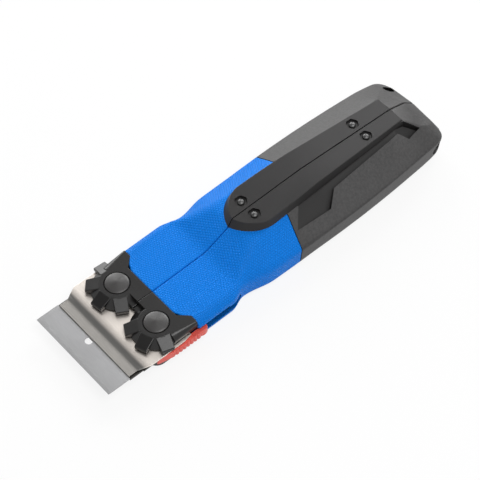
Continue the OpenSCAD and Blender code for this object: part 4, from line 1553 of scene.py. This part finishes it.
@dataclass
class Carriage:
    """Blade, the plates of its holder, the red slider and its spring."""

    finishes: Finishes
    # Blade with its ground edge and hole
    edge_x: float = 77.0
    blade_half: float = 19.0
    blade_low: float = 5.9
    blade_high: float = 6.2
    step_x: float = 68.1
    step: float = 1.2
    step_slope: float = 0.3
    back_x: float = 58.0
    bevel: float = 1.4
    edge_share: float = 0.12
    hole: float = 2.7
    hole_at: tuple[float, float] = (69.1, -1.2)
    hole_cut: tuple[float, float] = (4.0, 8.0)
    hole_points: int = 40
    near: float = 0.01
    # Base plate under the blade
    base_low: float = 5.1
    base_half: float = 18.3
    base_step: float = 62.5
    base_wide_x: float = 57.6
    base_front_half: float = 18.95
    base_wide_half: float = 19.3
    base_cut_y: float = 12.4
    tongue_rear: float = 20.0
    tongue_half: float = 8.0
    fold: tuple[float, float] = (57.5, 61.1)
    fold_z: float = 5.4
    fold_past: float = 1.0
    # Raised top plate
    lip_x: float = 68.0
    lip_half: float = 18.3
    bend_x: float = 64.5
    rise_x: float = 61.5
    wide_x: float = 60.2
    wide_half: float = 20.35
    rear_x: float = 46.0
    plate_rear: float = 42.5
    rear_half: float = 19.7
    lip_z: float = 6.7
    plate_z: float = 7.7
    plate_t: float = 0.5
    plate_edge: float = 0.08
    bend_rounds: tuple[float, float] = (0.9, 1.5)
    bend_points: tuple[int, int] = (8, 6)
    plate_columns: int = 13
    plate_bevel_angle: float = 50.0
    # Red slider and its stem
    slider_front: float = 57.0
    slider_rear: float = 36.0
    slider_y: float = 19.1
    slider_out: float = 21.1
    slider_low: float = 4.0
    slider_high: float = 7.0
    slider_edge: float = 0.3
    slider_lip: float = 0.2
    rear_curve: Rows = ((0.0, 0.9), (0.4, 1.5), (1.2, 1.85), (2.2, 1.98))
    nose_curve: Rows = ((3.4, 1.4), (0.5, 0.85), (0.0, 0.6))
    stem_x: tuple[float, float] = (46.1, 55.1)
    stem_y: float = 17.4
    stem_lift: float = 0.3
    stem_lap: float = 0.1
    press: float = 1.5
    # Spring behind the stem
    coil_at: tuple[float, float] = (50.6, 5.9)
    coil_ends: tuple[float, float] = (13.79, 17.11)
    coil_seat: float = 13.5
    coil_r: float = 0.82
    coil_turns: int = 5
    coil_steps: int = 24
    wire_r: float = 0.13
    wire_sides: int = 10
    # Ridges of the slider
    ridges: int = 7
    ridge_steps: int = 8
    ridge_run: tuple[float, float] = (3.4, 14.2)
    ridge_end: tuple[float, float] = (0.8, 0.1)
    ridge_depth: float = 0.4
    ridge_power: float = 0.7
    # Least angles of edges that are shaded sharp, in degrees
    even_angle: float = 35.0
    plain_angle: float = 20.0

    def build_blade(self) -> bpy.types.Object:
        """Make the blade, with stepped ends, a ground edge and a round hole.

        Returns:
            The blade.
        """
        e, h, s = self.edge_x, self.blade_half, self.step
        inner = self.step_x - self.step_slope
        outline = [(e, -h), (e, h), (self.step_x, h), (inner, h - s), (self.back_x, h - s),
                   (self.back_x, s - h), (inner, s - h), (self.step_x, -h)]
        blade = Bench.plate("scraper_blade", outline, self.blade_low, self.blade_high)
        plane = {"plane_co": ((e - self.bevel) * MM, 0, 0), "plane_no": (1, 0, 0)}
        Bench.all_of(blade, lambda: bpy.ops.mesh.bisect(**plane))
        mid = (self.blade_low + self.blade_high) / 2 * MM
        for vertex in blade.data.vertices:
            if vertex.co.x > (e - self.near) * MM:
                vertex.co.z = mid + (vertex.co.z - mid) * self.edge_share
        r = self.hole / 2
        Bench.combine(blade, Bench.turned("hole", [(r, z) for z in self.hole_cut], self.hole_at,
                                          self.hole_points))
        return blade

    def build_plate(self) -> bpy.types.Object:
        """Make the top plate of one thickness, with a flat lip, a rounded joggle and a raised rear.

        Returns:
            The plate.
        """
        corners = [(self.lip_x, self.lip_z), (self.bend_x, self.lip_z), (self.rise_x, self.plate_z),
                   (self.plate_rear, self.plate_z)]
        profile = rounded_path(corners, self.bend_rounds, *self.bend_points)
        stations = sorted([*profile, (self.wide_x, self.plate_z), (self.rear_x, self.plate_z)], reverse=True)
        widths = ((self.plate_rear, self.rear_half), (self.rear_x, self.wide_half),
                  (self.wide_x, self.wide_half), (self.bend_x, self.lip_half))
        t, rings = self.plate_t, []
        for i, (x, z) in enumerate(stations):
            (x0, z0), (x1, z1) = stations[max(0, i - 1)], stations[min(len(stations) - 1, i + 1)]
            size = math.hypot(x1 - x0, z1 - z0)
            down = ((z1 - z0) / size * t, -(x0 - x1) / size * t)
            half = along(widths, x)
            ys = spaced(-half, half, self.plate_columns)
            rings.append([(x, y, z) for y in ys] + [(x + down[0], y, z + down[1]) for y in reversed(ys)])
        plate = Bench.loft("holder_top_plate", rings)
        Bench.soften(plate, self.plate_edge, angle=self.plate_bevel_angle)
        return plate

    def build_base(self) -> bpy.types.Object:
        """Make the dark plate under the blade, with its tongue and a groove for the blade's folded back.

        Returns:
            The plate.
        """
        front, wide, half = self.base_front_half, self.base_wide_half, self.base_half
        step, wide_x, rear, tongue = self.base_step, self.base_wide_x, self.rear_x, self.tongue_half
        far = [(self.lip_x, -front), (step, -front), (step, -wide), (wide_x, -wide), (wide_x, -half),
               (rear, -half), (rear, -tongue), (self.tongue_rear, -tongue), (self.tongue_rear, tongue),
               (rear, tongue), (rear, self.base_cut_y), (wide_x, self.base_cut_y)]
        near = [(wide_x, wide), (step, wide), (step, front), (self.lip_x, front)]
        base = Bench.plate("holder_base_plate", [*far, *near], self.base_low, self.blade_low)
        side = self.blade_half + self.fold_past
        Bench.combine(base, Bench.block("fold", (self.fold[0], -side, self.fold_z),
                                        (self.fold[1], side, self.blade_high)))
        return base

    def slider_plan(self) -> Plan:
        """Plan of the slider with rounded ridges along its outer edge.

        Returns:
            The outline, from the front along the inner face to the rear and back along the ridges.
        """
        f, r, y0, y1 = self.slider_front, self.slider_rear, self.slider_y, self.slider_out
        first, last = (r + place for place in self.ridge_run)
        pitch, steps = (last - first) / self.ridges, self.ridge_steps
        scallops: Plan = []
        for k in range(self.ridges * steps + 1):
            dip = self.ridge_depth * (1 - abs(math.sin(math.pi * k / steps)) ** self.ridge_power)
            scallops.append((first + k / steps * pitch, y1 - dip))
        rear = [(r + back, y0 + out) for back, out in self.rear_curve]
        nose = [(f - back, y0 + out) for back, out in self.nose_curve]
        after, drop = self.ridge_end
        return [(f, y0), (r, y0), *rear, *scallops, (last + after, y1 - drop), *nose]

    def build_slider(self) -> bpy.types.Object:
        """Make the red slider with its ridges and the stem behind the slot.

        Returns:
            The slider.
        """
        slider = Bench.plate("red_slider", self.slider_plan(), self.slider_low, self.slider_high)
        lip = self.slider_y + self.slider_lip
        Bench.round_edges(slider, lambda a, b: abs(a.z - b.z) < self.near and min(a.y, b.y) > lip,
                          self.slider_edge)
        stem = Bench.block("stem", (self.stem_x[0], self.stem_y, self.slider_low + self.stem_lift),
                           (self.stem_x[1], self.slider_y + self.stem_lap, self.slider_high - self.stem_lap))
        Bench.combine(slider, stem, Way.JOIN)
        return slider

    def build_coil(self) -> bpy.types.Object:
        """Make the coil spring between the bracket and the slider's stem.

        Returns:
            The spring.
        """
        (x, z), (y0, y1) = self.coil_at, self.coil_ends
        whole = 2 * math.pi * self.coil_turns
        rings: list[Ring] = []
        for turn in spaced(0, whole, self.coil_steps * self.coil_turns + 1):
            y = blend(turn / whole, y0, y1)
            ring: Ring = []
            for around in spaced(0, 2 * math.pi, self.wire_sides + 1)[:-1]:
                r, rise = self.coil_r + self.wire_r * math.cos(around), self.wire_r * math.sin(around)
                ring.append((x + r * math.cos(turn), y + rise, z + r * math.sin(turn)))
            rings.append(ring)
        return Bench.loft("lock_coil_spring", rings)

    def build(self) -> None:
        """Make and dress the blade, plates, slider and spring."""
        pieces = [(self.build_blade(), "blade", "blade_steel", Body.CARRIAGE, False),
                  (self.build_plate(), "carrier_top_plate", "plate_steel", Body.CARRIAGE, True),
                  (self.build_base(), "carrier_base_plate", "dark_steel", Body.CARRIAGE, False),
                  (self.build_slider(), "slider_button", "slider_plastic", Body.SLIDER, True)]
        coil = self.build_coil()
        pieces.append((coil, "lock_spring", "inner_steel", Body.CARRIAGE, False))
        for piece, node, slot, body, even in pieces:
            Bench.coat(piece, self.finishes[slot])
            Bench.shade(piece, self.even_angle if even else self.plain_angle, even)
            Bench.dress(piece, body, [node], slot)
        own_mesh(coil)


@dataclass(frozen=True)
class Lamp:
    """Square area lamp that faces the middle of the object, in metres and watts."""

    name: str
    place: tuple[float, float, float]
    size: float
    power: float

    def build(self) -> None:
        """Hang the lamp."""
        data = bpy.data.lights.new(self.name, "AREA")
        data.shape, data.size, data.energy = "SQUARE", self.size, self.power
        lamp = bpy.data.objects.new(self.name, data)
        lamp.location = self.place
        lamp.rotation_mode = "QUATERNION"
        lamp.rotation_quaternion = (-Vector(self.place)).to_track_quat("-Z", "Y")
        bpy.context.scene.collection.objects.link(lamp)


@dataclass
class Studio:
    """Camera, floor and soft light, with places and sizes in metres."""

    eye: tuple[float, float, float] = (0.2552, 0.2883, 0.5452)
    back: tuple[float, float, float] = (0.379, 0.4355, 0.8165)
    lens: float = 145.4
    sensor: float = 36.0
    clip: float = 0.01
    floor_size: float = 6.0
    floor_drop: float = 0.0003
    floor_tone: float = 0.9
    sky: float = 0.42
    white_share: float = 0.86
    dim_toward: tuple[float, float, float] = (0.25, -0.35, 0.9)
    dim_share: float = 0.7
    dim_spread: tuple[float, float] = (0.86, 0.98)
    lamps: tuple[Lamp, ...] = (Lamp("top_lamp", (-0.05, 0.42, 1.0), size=0.5, power=5.2),
                               Lamp("far_lamp", (-0.35, -0.95, 0.4), size=0.6, power=5.6),
                               Lamp("tail_lamp", (-0.95, -0.45, 0.62), size=0.5, power=5.5))

    def camera(self) -> None:
        """Camera at the photograph's viewing angle."""
        data = bpy.data.cameras.new("camera")
        data.lens, data.sensor_width, data.sensor_fit = self.lens, self.sensor, "HORIZONTAL"
        data.clip_start = self.clip
        camera = bpy.data.objects.new("camera", data)
        camera.location = self.eye
        camera.rotation_mode = "QUATERNION"
        camera.rotation_quaternion = (-Vector(self.back)).to_track_quat("-Z", "Y")
        bpy.context.scene.collection.objects.link(camera)
        bpy.context.scene.camera = camera

    def floor(self) -> None:
        """Pale floor that stays near white in the camera and keeps a soft shadow."""
        Bench.clear()
        bpy.ops.mesh.primitive_plane_add(size=self.floor_size, location=(0, 0, -self.floor_drop))
        floor = Bench.named("studio_floor")
        recipe = Recipe.named("pale_floor")
        tone = shade_of((1.0, 1.0, 1.0), self.floor_tone)
        matt = recipe.add("ShaderNodeBsdfDiffuse", None, {"Color": tone})
        glow = recipe.add("ShaderNodeEmission", None, {"Color": (1, 1, 1, 1), "Strength": 1.0})
        share = recipe.rays("Camera", "Glossy", "Transmission") * self.white_share
        both = recipe.add("ShaderNodeMixShader", None, {0: share, 1: matt.outputs[0], 2: glow.outputs[0]})
        recipe.add("ShaderNodeOutputMaterial", None, {"Surface": both.outputs[0]})
        floor.data.materials.append(recipe.owner)

    def sky_light(self) -> None:
        """White surroundings: plain white in the camera, bright in gloss and soft on the object."""
        world = bpy.data.worlds.new("studio")
        recipe = Recipe(world)
        toward = Vector(self.dim_toward).normalized()
        turn = recipe.add("ShaderNodeVectorMath", {"operation": "DOT_PRODUCT"},
                          {0: recipe.coords.outputs["Generated"], 1: toward})
        dim = Value(recipe, turn.outputs["Value"]).faded(*self.dim_spread) * self.dim_share
        gloss, seen = recipe.rays("Glossy", "Transmission"), recipe.rays("Camera")
        level = (1 - dim) * (gloss * (1 - self.sky) + self.sky)
        level = level * (1 - seen) + seen
        night = recipe.add("ShaderNodeBackground", None, {"Color": (0, 0, 0, 1)})
        white = recipe.add("ShaderNodeBackground", None, {"Color": (1, 1, 1, 1)})
        both = recipe.add("ShaderNodeMixShader", None, {0: level, 1: night.outputs[0], 2: white.outputs[0]})
        recipe.add("ShaderNodeOutputWorld", None, {"Surface": both.outputs[0]})
        bpy.context.scene.world = world

    def build(self) -> None:
        """Set up the camera, floor, surroundings and lamps."""
        bpy.context.scene.view_settings.view_transform = "Standard"
        self.camera()
        self.floor()
        self.sky_light()
        for lamp in self.lamps:
            lamp.build()


def dress_inner_nodes(frame: dict[str, Any], finishes: Finishes) -> None:
    """Give the frame's own nodes that stay in view their finishes.

    Args:
        frame: the loaded frame.
        finishes: all finishes by slot.
    """
    for part in frame["record"]["subparts"]:
        node = frame["nodes"][part["node"]]
        if node.hide_render:
            continue
        Bench.coat(node, finishes[part["material_slot"]])
        LOG.info("%s keeps its solid", node.name)


def main() -> None:
    """Load the frame, and build and dress every piece."""
    logging.basicConfig(level=logging.INFO, format="%(message)s")
    for start in list(bpy.data.objects):
        bpy.data.objects.remove(start)
    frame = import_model()
    Studio().build()
    finishes = Finishes()
    form = HandleForm()
    Handle(form, finishes).build()
    Spine(form, finishes).build()
    Head(form, finishes).build()
    Carriage(finishes).build()
    dress_inner_nodes(frame, finishes)


if __name__ == "__main__":
    main()
